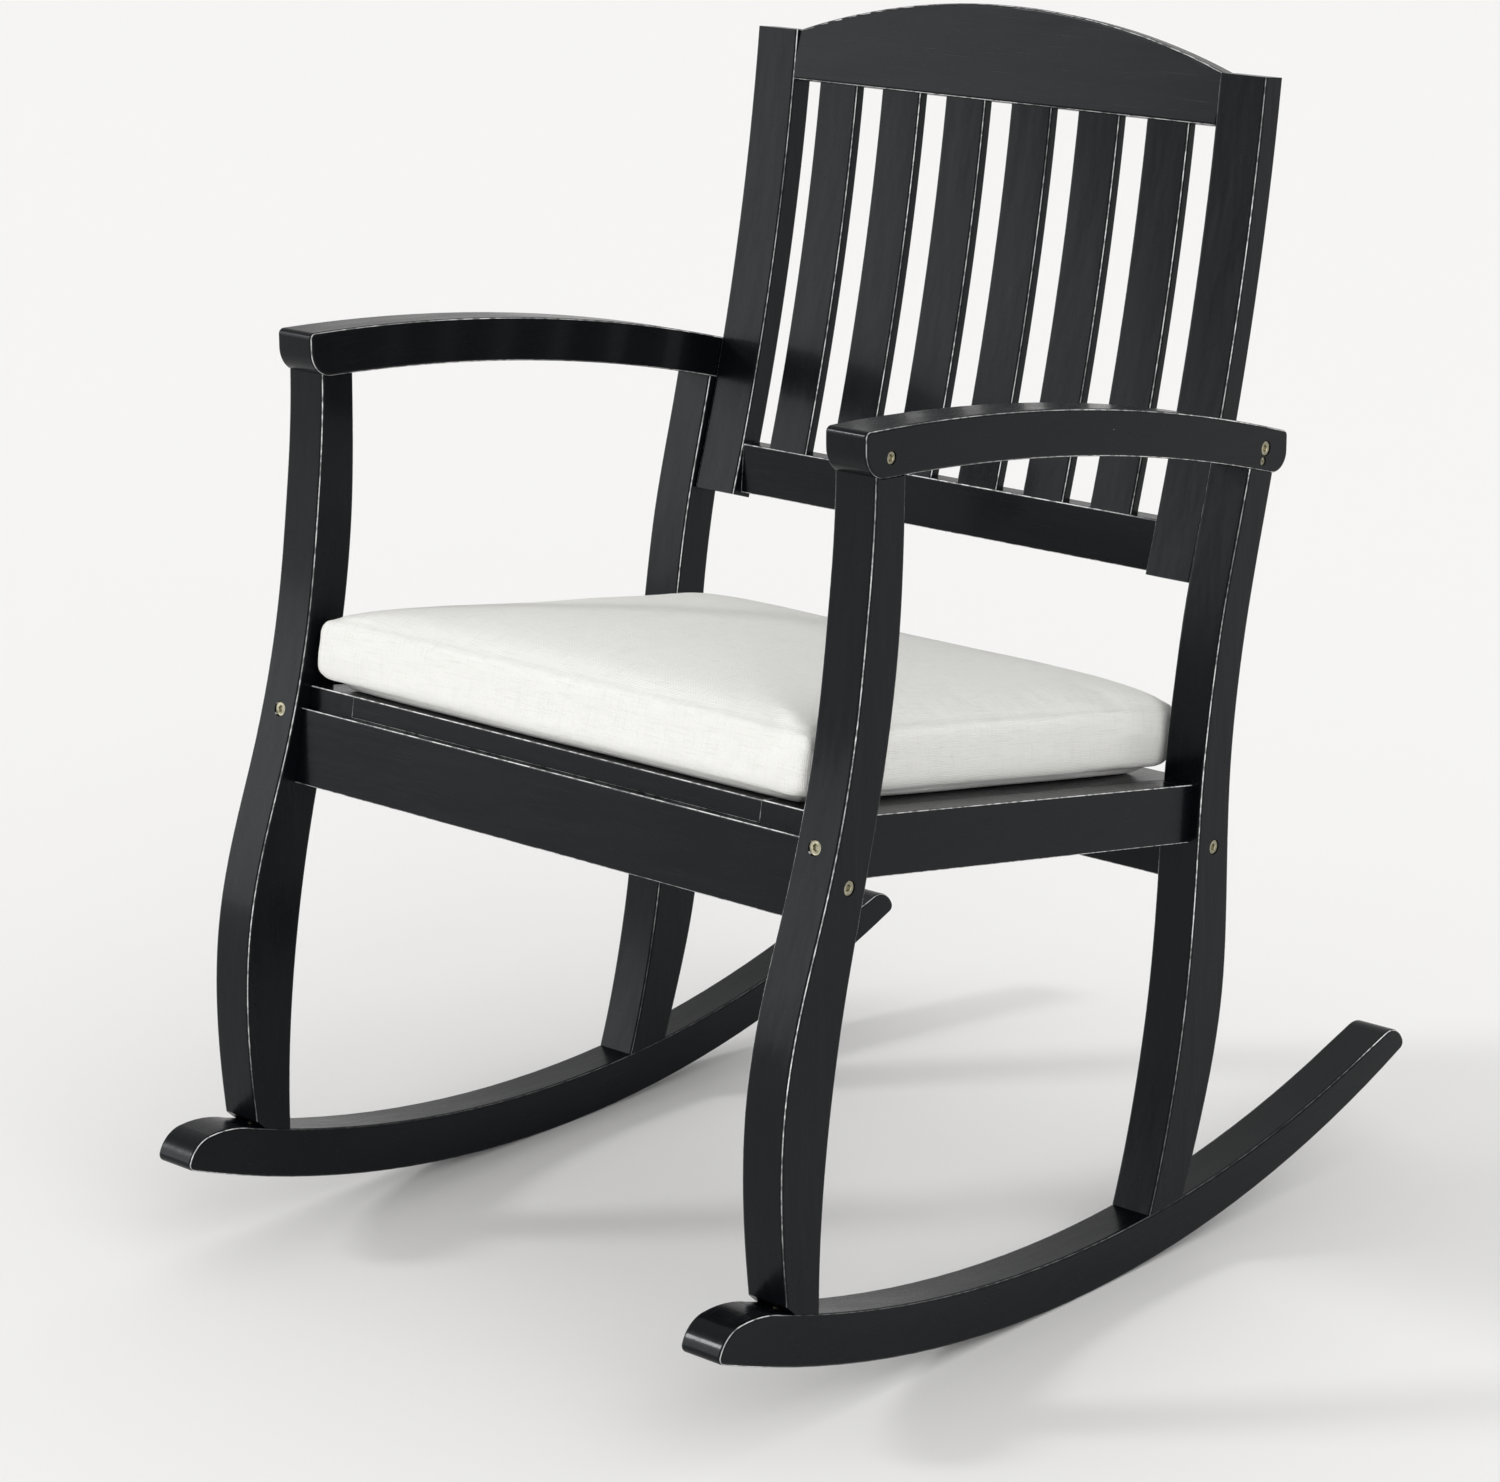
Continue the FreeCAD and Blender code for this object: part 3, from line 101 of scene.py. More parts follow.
class Signal:
    """A node socket whose sums, products and comparisons add Math nodes to its graph."""

    def __init__(self, graph: "Graph", socket: bpy.types.NodeSocket) -> None:
        """Wraps an output socket of a graph."""
        self.graph = graph
        self.socket = socket

    __add__ = __radd__ = maths("ADD")
    __sub__ = maths("SUBTRACT")
    __rsub__ = maths("SUBTRACT", reflected=True)
    __mul__ = __rmul__ = maths("MULTIPLY")
    __truediv__ = maths("DIVIDE")
    __abs__ = maths("ABSOLUTE")
    root = maths("SQRT")
    floor = maths("FLOOR")
    fraction = maths("FRACT")
    modulo = maths("FLOORED_MODULO")
    least = maths("MINIMUM")
    most = maths("MAXIMUM")

    def above(self, low: float) -> "Signal":
        """A value from 0 to 1, pressed into the span from low to 1."""
        return self * (1 - low) + low

    def ramp(self, low: float, high: float) -> "Signal":
        """Smooth step, clamped, from 0 at low to 1 at high."""
        settings = {"interpolation_type": "SMOOTHSTEP"}
        return self.graph.get("ShaderNodeMapRange", settings, {0: self, 1: low, 2: high, 3: 0.0, 4: 1.0})


class Graph:
    """A node tree that is written one node at a time."""

    def __init__(self, tree: bpy.types.NodeTree) -> None:
        """Starts with a tree."""
        self.tree = tree

    def add(self, kind: str, settings: dict | None = None, values: dict | None = None) -> bpy.types.Node:
        """Adds one node.

        Args:
            kind: Blender's name for the node type.
            settings: Properties that are set first.
            values: Constants, sockets or signals by input name or number.

        Returns:
            The new node.
        """
        node = self.tree.nodes.new(kind)
        for name, value in (settings or {}).items():
            setattr(node, name, value)
        for key, value in (values or {}).items():
            self.feed(node.inputs[key], value)
        return node

    def feed(self, socket: bpy.types.NodeSocket, value: object) -> None:
        """Links a signal or socket to an input, or sets the input's constant."""
        if isinstance(value, Signal):
            value = value.socket
        if isinstance(value, bpy.types.NodeSocket):
            self.tree.links.new(value, socket)
        else:
            socket.default_value = value

    def get(self, kind: str, settings: dict | None = None, values: dict | None = None,
            output: int | str = 0) -> Signal:
        """Adds one node and returns one of its outputs."""
        return Signal(self, self.add(kind, settings, values).outputs[output])


class Surface(Graph):
    """The graph of one material, around one Principled shader."""

    def __init__(self, name: str) -> None:
        """Makes an empty material with its shader and output."""
        self.material = bpy.data.materials.new(name)
        self.material.use_nodes = True
        super().__init__(self.material.node_tree)
        self.tree.nodes.clear()
        self.shader = self.add("ShaderNodeBsdfPrincipled")
        self.add("ShaderNodeOutputMaterial", None, {"Surface": self.shader.outputs[0]})

    def place(self) -> Signal:
        """Object coordinates, in metres."""
        return self.get("ShaderNodeTexCoord", None, None, "Object")

    def stretched(self, scale: tuple[float, float, float], turn: float = 0.0) -> Signal:
        """Object coordinates turned about X by an angle in radians, and then scaled."""
        turned = self.get("ShaderNodeMapping", None, {"Vector": self.place(), "Rotation": (turn, 0, 0)})
        return self.get("ShaderNodeMapping", None, {"Vector": turned, "Scale": scale})

    def noise(self, vector: Signal, scale: float, detail: float = 2.0, roughness: float = 0.5) -> Signal:
        """Smooth noise from 0 to 1."""
        values = {"Vector": vector, "Scale": scale, "Detail": detail, "Roughness": roughness}
        return self.get("ShaderNodeTexNoise", None, values)

    def parts(self, vector: Signal) -> tuple[Signal, Signal, Signal]:
        """The three components of a vector."""
        node = self.add("ShaderNodeSeparateXYZ", None, {0: vector})
        return tuple(Signal(self, output) for output in node.outputs)

    def blend(self, share: Signal, first: object, second: object) -> Signal:
        """A colour between two colours."""
        return self.get("ShaderNodeMix", {"data_type": "RGBA"}, {0: share, 6: first, 7: second}, 2)

    def bump(self, height: Signal, depth: float) -> Signal:
        """A normal from a height, where depth is the real depth of a height of 1."""
        return self.get("ShaderNodeBump", None, {"Height": height, "Distance": depth})

    def set(self, **values: object) -> bpy.types.Material:
        """Sets the shader's sockets, named with _ for a space, and returns the material."""
        for name, value in values.items():
            self.feed(self.shader.inputs[name.replace("_", " ")], value)
        return self.material


@dataclass(frozen=True)
class SatinPaint:
    """Sprayed satin black paint over close-grained hardwood, with painted highlight lines on the arrises.

    The highlight lines are broken up as thinly rubbed paint would be. Their span is an axis and two distances
    from the
    middle plane: inside the first the lines are faint, and beyond the second they are full. corner holds the
    Y and Z of a sharp edge that runs across the chair and gets a painted highlight line too.
    """

    name: str
    grain: Grain
    arris: Arris
    tilt: float = 0.0
    arris_band: tuple = (0.54, 0.63)
    joint: float = 0.0
    joint_width: float = 0.0005
    highlight_span: tuple = (2, 0.12, 0.24)
    corner: tuple = ()
    corner_highlight_width: tuple = (0.0003, 0.0011)
    body: tuple = (0.0026, 0.0031, 0.0042, 1)
    highlight_grey: tuple = (0.82, 0.82, 0.82, 1)
    gloss: float = 0.20
    specular: float = 0.11
    tint: tuple = (0.90, 0.96, 1, 1)
    coat: float = 0.1
    coat_gloss: float = 0.1
    pore_width: float = 0.0011
    pore_length: float = 0.045
    pore_edges: tuple = (0.55, 0.75)
    pore_shade: float = 0.55
    pore_depth: float = 0.00004
    swell: float = 0.02
    swell_stretch: float = 5
    swell_depth: float = 0.0005
    stipple: float = 0.0013
    nib_spacing: float = 0.05
    nib: float = 0.0006
    cloud_scale: float = 9
    breakup_scale: float = 130
    breakup_edges: tuple = (0.36, 0.6)
    patch_scale: float = 8
    patch_edges: tuple = (0.3, 0.6)
    faintest_line: float = 0.25
    inner_line_share: float = 0.15
    joint_line_strength: tuple = (0.1, 0.4)
    corner_line_floor: float = 0.4

    def _arris_mask(self, surface: Surface) -> Signal:
        """1 on the crown of a rounded arris and 0 on the board's faces."""
        normal = surface.get("ShaderNodeTexCoord", None, None, "Normal")
        turned = surface.get("ShaderNodeMapping", None, {"Vector": normal, "Rotation": (self.tilt, 0, 0)})
        x, y, z = surface.parts(turned)
        if self.arris is Arris.BESIDE_FACES_ACROSS_X:
            diagonal = abs(x).least((1 - x * x).most(0).root())
        else:
            diagonal = abs(y).least(abs(z))
        return diagonal.ramp(*self.arris_band)

    def _joint_line(self, surface: Surface) -> Signal | float:
        """1 beside the joints at both ends of a board, where a pale line is painted as the highlight on the
        joint's edges.
        """
        if not self.joint:
            return 0.0
        x, _, _ = surface.parts(surface.place())
        return 1 - abs(abs(x) - self.joint).ramp(self.joint_width / 2, self.joint_width)

    def _corner_line(self, surface: Surface) -> Signal | float:
        """1 on a sharp edge that runs across the chair, where a highlight line is painted."""
        if not self.corner:
            return 0.0
        _, y, z = surface.parts(surface.place())
        y, z = y - self.corner[0], z - self.corner[1]
        return 1 - (y * y + z * z).root().ramp(*self.corner_highlight_width)

    def build(self) -> bpy.types.Material:
        """Makes the material.

        Returns:
            The painted finish for boards of this grain direction.
        """
        surface = Surface(self.name)
        along = self.grain.value
        pores = tuple(1 / (self.pore_length if axis else self.pore_width) for axis in along)
        waves = tuple(1 / (self.swell * (self.swell_stretch if axis else 1)) for axis in along)
        pore = surface.noise(surface.stretched(pores, self.tilt), 1, 4, 0.62).ramp(*self.pore_edges)
        swell = surface.noise(surface.stretched(waves, self.tilt), 1, 2)
        stipple = surface.noise(surface.place(), 1 / self.stipple, 2)
        cloud = surface.noise(surface.place(), self.cloud_scale, 3)
        cells = surface.get("ShaderNodeTexVoronoi", None,
                            {"Vector": surface.place(), "Scale": 1 / self.nib_spacing})
        nib = 1 - cells.ramp(0, self.nib / self.nib_spacing)
        breakup = surface.noise(surface.place(), self.breakup_scale, 4, 0.6).ramp(*self.breakup_edges)
        patches = surface.noise(surface.place(), self.patch_scale, 3).ramp(*self.patch_edges)
        # Painted highlight lines on the arris crowns, broken up like rubbed paint and faint near the middle
        # plane.
        axis, start, full = self.highlight_span
        reach = abs(surface.parts(surface.place())[axis]).ramp(start, full).above(self.inner_line_share)
        highlight_lines = self._arris_mask(surface) * breakup.above(self.faintest_line) * patches.above(self.faintest_line) * reach
        # Painted highlight lines beside the joints at the board's ends.
        least, more = self.joint_line_strength
        highlight_lines = highlight_lines.most(self._joint_line(surface) * (breakup * more + least))
        # Painted highlight line on the sharp edge across the chair.
        highlight_lines = highlight_lines.most(self._corner_line(surface) * breakup.above(self.corner_line_floor))
        shade = surface.blend(pore * 0.5, self.body, dimmed(self.body, self.pore_shade))
        # The pale grey gives the painted highlight lines, and the paint nibs at half strength.
        shade = surface.blend((nib * 0.5).most(highlight_lines), shade, self.highlight_grey)
        rough = self.gloss + cloud.ramp(0.35, 0.7) * 0.06 + pore * 0.06 + stipple * 0.03
        rough = rough + swell.ramp(0.35, 0.65) * 0.04
        relief = swell * (self.swell_depth / self.pore_depth) - pore + stipple * 0.35 + nib * 3
        return surface.set(Base_Color=shade, Roughness=rough, Normal=surface.bump(relief, self.pore_depth),
                           Specular_IOR_Level=self.specular, Specular_Tint=self.tint,
                           Coat_Weight=self.coat, Coat_Roughness=self.coat_gloss)


@dataclass(frozen=True)
class DowelTimber:
    """Bare beech, for the pegs inside the joints."""

    pale: tuple = (0.66, 0.47, 0.30, 1)
    deep: tuple = (0.50, 0.32, 0.18, 1)

    def build(self) -> bpy.types.Material:
        """Makes the material."""
        surface = Surface("beech_pegs")
        streak = surface.noise(surface.stretched((40, 900, 900)), 1, 4)
        shade = surface.blend(streak.ramp(0.35, 0.7), self.pale, self.deep)
        return surface.set(Base_Color=shade, Roughness=0.55 + streak * 0.15,
                           Normal=surface.bump(streak, 0.0001))


@dataclass(frozen=True)
class YellowZinc:
    """Yellow-passivated zinc on turned steel."""

    straw: tuple = (0.42, 0.39, 0.29, 1)
    olive: tuple = (0.28, 0.27, 0.19, 1)
    gloss: float = 0.27

    def build(self) -> bpy.types.Material:
        """Makes the material."""
        surface = Surface("yellow_zinc")
        tint = surface.noise(surface.place(), 260, 3)
        scratch = surface.noise(surface.place(), 1900, 2)
        shade = surface.blend(tint.ramp(0.35, 0.65), self.straw, self.olive)
        return surface.set(Base_Color=shade, Metallic=1.0, Roughness=self.gloss + scratch * 0.14,
                           Normal=surface.bump(scratch, 0.00003))


@dataclass(frozen=True)
class SlubLinen:
    """Plain-woven off-white slub linen, read from the panels' own map in metres, with painted shade in gaps
    and seams.
    """

    cloth: tuple = (0.86, 0.86, 0.83, 1)
    slub_and_shade_tone: tuple = (0.60, 0.60, 0.56, 1)
    thread: float = 0.0013
    weave_depth: float = 0.00028
    sheen: float = 0.25
    under: float = 0.35

    def _yarn(self, surface: Surface, across: Signal, along: Signal) -> Signal:
        """Rounded height of one set of threads, with thick and thin places along each."""
        number = across.floor()
        joined = surface.get("ShaderNodeCombineXYZ", None, {0: number * 17.31, 1: along * 0.035})
        slub = surface.noise(joined, 1, 3, 0.6)
        middle = across.fraction() * 2 - 1
        return (1 - middle * middle) * (0.55 + slub * 0.9)

    def _streak(self, surface: Surface, chart: Signal, scale: tuple[float, float, float]) -> Signal:
        """Long thin noise along one set of threads."""
        return surface.noise(surface.get("ShaderNodeMapping", None, {"Vector": chart, "Scale": scale}), 1, 3)

    def build(self) -> bpy.types.Material:
        """Makes the material.

        Returns:
            The woven finish.
        """
        surface = Surface("slub_linen")
        chart = surface.get("ShaderNodeUVMap", {"uv_map": "panels"})
        wobble = surface.noise(chart, 60, 2) * 1.2
        u, v, _ = surface.parts(chart)
        u = u / self.thread + wobble
        v = v / self.thread + wobble
        warp = self._yarn(surface, u, v)
        weft = self._yarn(surface, v, u)
        over = (u.floor() + v.floor()).modulo(2)
        height = warp * over.above(self.under) + weft * (1 - over * (1 - self.under))
        seam = surface.get("ShaderNodeAttribute", {"attribute_name": "seam"}, None, "Fac")
        streak_u = self._streak(surface, chart, (40, 520, 1))
        streak_v = self._streak(surface, chart, (520, 40, 1))
        dirt = surface.noise(surface.place(), 14, 3)
        # Painted shade in the gaps between threads, plus the slubs' own streaks and dirt.
        shade_and_slub_mix = (1.15 - height).ramp(0.1, 1.3) * 0.22
        shade_and_slub_mix = shade_and_slub_mix + streak_u.ramp(0.5, 0.75) * 0.22 + streak_v.ramp(0.5, 0.75) * 0.18
        # The seam share adds painted shade along the seams.
        shade_and_slub_mix = shade_and_slub_mix + dirt.ramp(0.45, 0.9) * 0.05 + seam * 0.18
        shade = surface.blend(shade_and_slub_mix.least(0.9), self.cloth, self.slub_and_shade_tone)
        normal = surface.bump(height + streak_u * 0.8 + streak_v * 0.6, self.weave_depth)
        return surface.set(Base_Color=shade, Roughness=0.92, Normal=normal, Sheen_Weight=self.sheen,
                           Sheen_Roughness=0.5, Specular_IOR_Level=0.25)


@dataclass(frozen=True)
class FloorPaint:
    """Plain pale studio floor."""

    tone: tuple = (0.86, 0.855, 0.85, 1)

    def build(self) -> bpy.types.Material:
        """Makes the material."""
        surface = Surface("studio_floor")
        cloud = surface.noise(surface.place(), 0.7, 2)
        shade = surface.blend(cloud * 0.3, self.tone, dimmed(self.tone, 0.98))
        return surface.set(Base_Color=shade, Roughness=0.75, Specular_IOR_Level=0.2)


@dataclass
class Viewpoint:
    """The camera, where the photograph was taken from."""

    eye: tuple = (2.2898, -2.6118, 1.4072)
    heading: float = 41.918
    dip: float = 16.108
    roll: float = -0.359
    lens: float = 105.24
    sensor: float = 36.0

    def build(self) -> None:
        """Makes the scene's camera."""
        data = bpy.data.cameras.new("viewpoint")
        data.lens = self.lens
        data.sensor_width = self.sensor
        camera = linked("viewpoint", data)
        tilt = math.radians(90 - self.dip)
        turn = Matrix.Rotation(math.radians(self.heading), 4, "Z") @ Matrix.Rotation(tilt, 4, "X")
        turn = turn @ Matrix.Rotation(math.radians(self.roll), 4, "Z")
        camera.matrix_world = Matrix.Translation(Vector(self.eye)) @ turn
        bpy.context.scene.camera = camera


@dataclass
class SoftLamp:
    """A broad distant lamp, as soft as a lamp cloth of that width.

    Its strength is the light that it gives a facing surface, where pi makes white render white.
    """

    name: str
    towards: tuple
    strength: float
    breadth: float

    def build(self) -> None:
        """Makes the lamp."""
        data = bpy.data.lights.new(self.name, "SUN")
        data.energy = self.strength
        data.angle = math.radians(self.breadth)
        lamp = linked(self.name, data)
        lamp.rotation_euler = Vector(self.towards).to_track_quat("Z", "Y").to_euler()


@dataclass
class Studio:
    """Pale floor, even surroundings and soft lamps."""

    floor_half: float = 60.0
    ambient: float = 0.66
    lamps: tuple = (
        SoftLamp("key", (-0.61, -0.60, 0.48), 0.85, 8.5),
        SoftLamp("low_left", (-0.80, -0.57, 0.22), 0.75, 36),
        SoftLamp("overhead", (0.1, 0.35, 1.0), 0.25, 80),
        SoftLamp("side", (0.9, -0.35, 0.5), 1.15, 60),
    )

    def build(self) -> None:
        """Makes the floor, the world and the lamps."""
        scene = bpy.context.scene
        scene.view_settings.view_transform = "Standard"
        mesh = bpy.data.meshes.new("floor")
        half = self.floor_half
        corners = [(-half, -half, 0), (half, -half, 0), (half, half, 0), (-half, half, 0)]
        mesh.from_pydata(corners, [], [(0, 1, 2, 3)])
        floor = linked("floor", mesh)
        floor.data.materials.append(FloorPaint().build())
        world = bpy.data.worlds.new("surroundings")
        scene.world = world
        world.use_nodes = True
        world.node_tree.nodes.clear()
        graph = Graph(world.node_tree)
        sky = graph.add("ShaderNodeBackground", None,
                        {"Color": (1, 0.997, 0.99, 1), "Strength": self.ambient})
        graph.add("ShaderNodeOutputWorld", None, {"Surface": sky.outputs[0]})
        for lamp in self.lamps:
            lamp.build()
        log.info("studio: floor and %d lamps", len(self.lamps))


def dimmed(colour: tuple, share: float) -> tuple:
    """A colour whose three channels are scaled by a share."""
    return tuple(value * share for value in colour[:3]) + (1,)


def sided(*kinds: str) -> list[str]:
    """Names of the left and the right node of each kind."""
    return [kind + "_" + side for side in SIDES for kind in kinds]


def numbered(kind: str, count: int) -> list[str]:
    """Names of the numbered nodes of a kind."""
    return ["%s_%d" % (kind, number) for number in range(1, count + 1)]


def linked(name: str, data: bpy.types.ID) -> bpy.types.Object:
    """A new object at the origin, linked to the scene."""
    made = bpy.data.objects.new(name, data)
    bpy.context.scene.collection.objects.link(made)
    return made


def evaluated(piece: bpy.types.Object) -> bpy.types.Mesh:
    """A plain mesh of a piece as its modifiers leave it."""
    graph = bpy.context.evaluated_depsgraph_get()
    return bpy.data.meshes.new_from_object(piece.evaluated_get(graph))


def gathered(items: bpy.types.bpy_prop_collection, field: str) -> np.ndarray:
    """A vector field of every item, one row each."""
    values = np.empty(len(items) * 3)
    items.foreach_get(field, values)
    return values.reshape(-1, 3)


def joined_up(node: str) -> bmesh.types.BMesh:
    """A copy of a node's mesh with its loose triangles joined, to be freed by the caller."""
    mesh = bmesh.new()
    mesh.from_mesh(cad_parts[node].data)
    bmesh.ops.remove_doubles(mesh, verts=mesh.verts, dist=MICRON)
    return mesh


def islands(mesh: bmesh.types.BMesh) -> list[np.ndarray]:
    """Corner places of each separate solid in a mesh."""
    found, seen = [], set()
    for start in mesh.verts:
        if start in seen:
            continue
        seen.add(start)
        group, stack = [], [start]
        while stack:
            vert = stack.pop()
            group.append(vert.co[:])
            for edge in vert.link_edges:
                other = edge.other_vert(vert)
                if other not in seen:
                    seen.add(other)
                    stack.append(other)
        found.append(np.array(group))
    return found


def new_piece(name: str, mesh: bpy.types.Mesh, material: bpy.types.Material) -> bpy.types.Object:
    """Links an object at the origin with one material."""
    piece = linked(name, mesh)
    mesh.materials.clear()
    mesh.materials.append(material)
    return piece


def settle(piece: bpy.types.Object, body: str, nodes: Iterable[str]) -> None:
    """Declares what a finished piece rides on and stands for."""
    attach(piece, body)
    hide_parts(*nodes)
    triangles = sum(len(face.vertices) - 2 for face in piece.data.polygons)
    log.info("%s: %d triangles, stands for %s", piece.name, triangles, ", ".join(nodes))


class NodeShape(Graph):
    """A Geometry Nodes tree with named inputs, ending in Realize Instances and Set Material."""

    def __init__(self, name: str, kinds: dict[str, tuple[str, ...]]) -> None:
        """Makes the tree.

        Args:
            name: Name of the tree.
            kinds: Names of the inputs by their kind; the geometry comes first of itself.
        """
        super().__init__(bpy.data.node_groups.new(name, "GeometryNodeTree"))
        self.tree.interface.new_socket("Geometry", in_out="OUTPUT", socket_type="NodeSocketGeometry")
        self.identifiers = {}
        for kind, labels in {"Geometry": ("Geometry",), **kinds, "Material": ("Material",)}.items():
            for label in labels:
                item = self.tree.interface.new_socket(label, in_out="INPUT", socket_type="NodeSocket" + kind)
                self.identifiers[label] = item.identifier
        self.entry = self.tree.nodes.new("NodeGroupInput")

    def input(self, label: str) -> Signal:
        """One of the named inputs."""
        return Signal(self, self.entry.outputs[label])

    def inputs(self, *same: str, **renamed: str) -> dict[str, Signal]:
        """Named inputs by the sockets that they feed, of the same name or another."""
        return {socket: self.input(label) for socket, label in [*zip(same, same), *renamed.items()]}

    def close(self, instances: Signal) -> None:
        """Ends the tree with real geometry and its material."""
        real = self.get("GeometryNodeRealizeInstances", None, {0: instances})
        dressed = self.get("GeometryNodeSetMaterial", None, {"Geometry": real, **self.inputs("Material")})
        self.add("NodeGroupOutput", None, {0: dressed})

    def run(self, name: str, base: bpy.types.Mesh, values: dict[str, object]) -> bpy.types.Object:
        """Runs the tree on a mesh and keeps the result as a plain mesh.

        Args:
            name: Name of the piece.
            base: Mesh that enters the tree.
            values: Value of each named input.

        Returns:
            The finished piece, with no modifier.
        """
        carrier = linked(name + "_tree", base)
        modifier = carrier.modifiers.new("shape", "NODES")
        modifier.node_group = self.tree
        for label, value in values.items():
            modifier[self.identifiers[label]] = value
        carrier.modifiers.new("flat_faces", "WEIGHTED_NORMAL").keep_sharp = True
        mesh = evaluated(carrier)
        bpy.data.objects.remove(carrier)
        return new_piece(name, mesh, values["Material"])


@dataclass
class SlatRow:
    """A row of equal slats, straight or bent along one arc, with rounded long arrises."""

    name: str
    nodes: list[str]
    across: Vector
    arris: float = 0.0025
    rounding: int = 4
    rings: int = 28

    def _measure(self) -> tuple[list[Vector], float, float]:
        """Middle line, width and thickness of the first slat, measured on its node.

        Returns:
            Start, middle and end of the middle line, the width across and the thickness.
        """
        low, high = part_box(self.nodes[0])
        extent = high - low
        axis = max(range(3), key=lambda number: extent[number])
        mesh = joined_up(self.nodes[0])
        sections = [[corner.co.copy() for face in mesh.faces if face.normal[axis] * way > FACING
                     for corner in face.verts] for way in (-1, 1)]
        normal = Vector(float(number == axis) for number in range(3))
        cut = bmesh.ops.bisect_plane(mesh, geom=mesh.verts[:] + mesh.edges[:] + mesh.faces[:],
                                     plane_co=(low + high) / 2, plane_no=normal)
        middle = [item.co.copy() for item in cut["geom_cut"] if isinstance(item, bmesh.types.BMVert)]
        mesh.free()
        centres = [sum((Vector(map(pick, zip(*corners))) for pick in (min, max)), Vector()) / 2
                   for corners in (sections[0], middle, sections[1])]
        through = (centres[2] - centres[0]).cross(self.across).normalized()
        spans = [corner.dot(self.across) for corner in middle]
        reach = [corner.dot(through) for corner in middle]
        return centres, max(spans) - min(spans), max(reach) - min(reach)

    def _tree(self) -> NodeShape:
        """The tree that bends one slat and repeats it."""
        shape = NodeShape(self.name + "_shape", {
            "Vector": ("Start", "Middle", "End", "Across", "Step"),
            "Int": ("Count", "Rings", "Rounding"), "Float": ("Width", "Thickness", "Arris")})
        line = shape.get("GeometryNodeCurveArc", {"mode": "POINTS"},
                         shape.inputs("Start", "Middle", "End", Resolution="Rings"))
        line = shape.get("GeometryNodeSetCurveNormal", {"mode": "FREE"},
                         {"Curve": line, **shape.inputs(Normal="Across")})
        section = shape.get("GeometryNodeCurvePrimitiveQuadrilateral", None,
                            shape.inputs("Width", Height="Thickness"))
        section = shape.get("GeometryNodeFilletCurve", {"mode": "POLY"},
                            {"Curve": section, **shape.inputs(Radius="Arris", Count="Rounding")})
        slat = shape.get("GeometryNodeCurveToMesh", None,
                         {"Curve": line, "Profile Curve": section, "Fill Caps": True})
        row = shape.get("GeometryNodeMeshLine", {"mode": "OFFSET"}, shape.inputs("Count", Offset="Step"))
        shape.close(shape.get("GeometryNodeInstanceOnPoints", None, {"Points": row, "Instance": slat}))
        return shape

    def build(self, material: bpy.types.Material) -> None:
        """Makes the row and puts it in place of its nodes."""
        (start, middle, end), width, thickness = self._measure()
        first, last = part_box(self.nodes[0])[0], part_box(self.nodes[-1])[0]
        step = (last - first) / (len(self.nodes) - 1)
        piece = self._tree().run(self.name, bpy.data.meshes.new(self.name), {
            "Start": start, "Middle": middle, "End": end, "Across": self.across, "Step": step,
            "Count": len(self.nodes), "Width": width, "Thickness": thickness, "Arris": self.arris,
            "Rings": self.rings, "Rounding": self.rounding, "Material": material})
        settle(piece, CHAIR, self.nodes)


@dataclass
class Fastener:
    """Where one bolt or screw sits: middle of its head's face, direction inwards, length and head radius."""

    point: Vector
    inward: Vector
    length: float
    head: float


def fasteners(node: str) -> list[Fastener]:
    """Finds the fasteners of a node from the shape of its solids.

    Args:
        node: Name of the node.

    Returns:
        One entry for each solid.
    """
    mesh = joined_up(node)
    found = []
    for corners in islands(mesh):
        centre = corners.mean(axis=0)
        _, vectors = np.linalg.eigh(np.cov((corners - centre).T))
        along = (corners - centre) @ vectors[:, -1]
        ends = (along.min(), along.max())
        band = (ends[1] - ends[0]) / END_PARTS
        rings = [corners[np.abs(along - end) < band] for end in ends]
        tips = [(ring.min(axis=0) + ring.max(axis=0)) / 2 for ring in rings]
        axis = (tips[1] - tips[0]) / np.linalg.norm(tips[1] - tips[0])
        along = (corners - tips[0]) @ axis
        reach = np.linalg.norm(corners - tips[0] - np.outer(along, axis), axis=1)
        ends = (along.min(), along.max())
        radii = [reach[np.abs(along - end) < band].max() for end in ends]
        head = tips[0] + axis * ends[0]
        if radii[1] > radii[0]:
            head = tips[0] + axis * ends[1]
            axis = -axis
        found.append(Fastener(Vector(head), Vector(axis), ends[1] - ends[0], max(radii)))
    mesh.free()
    return found


def circle(radius: float) -> Profile:
    """Radius of a circle by angle."""
    return lambda turn: radius


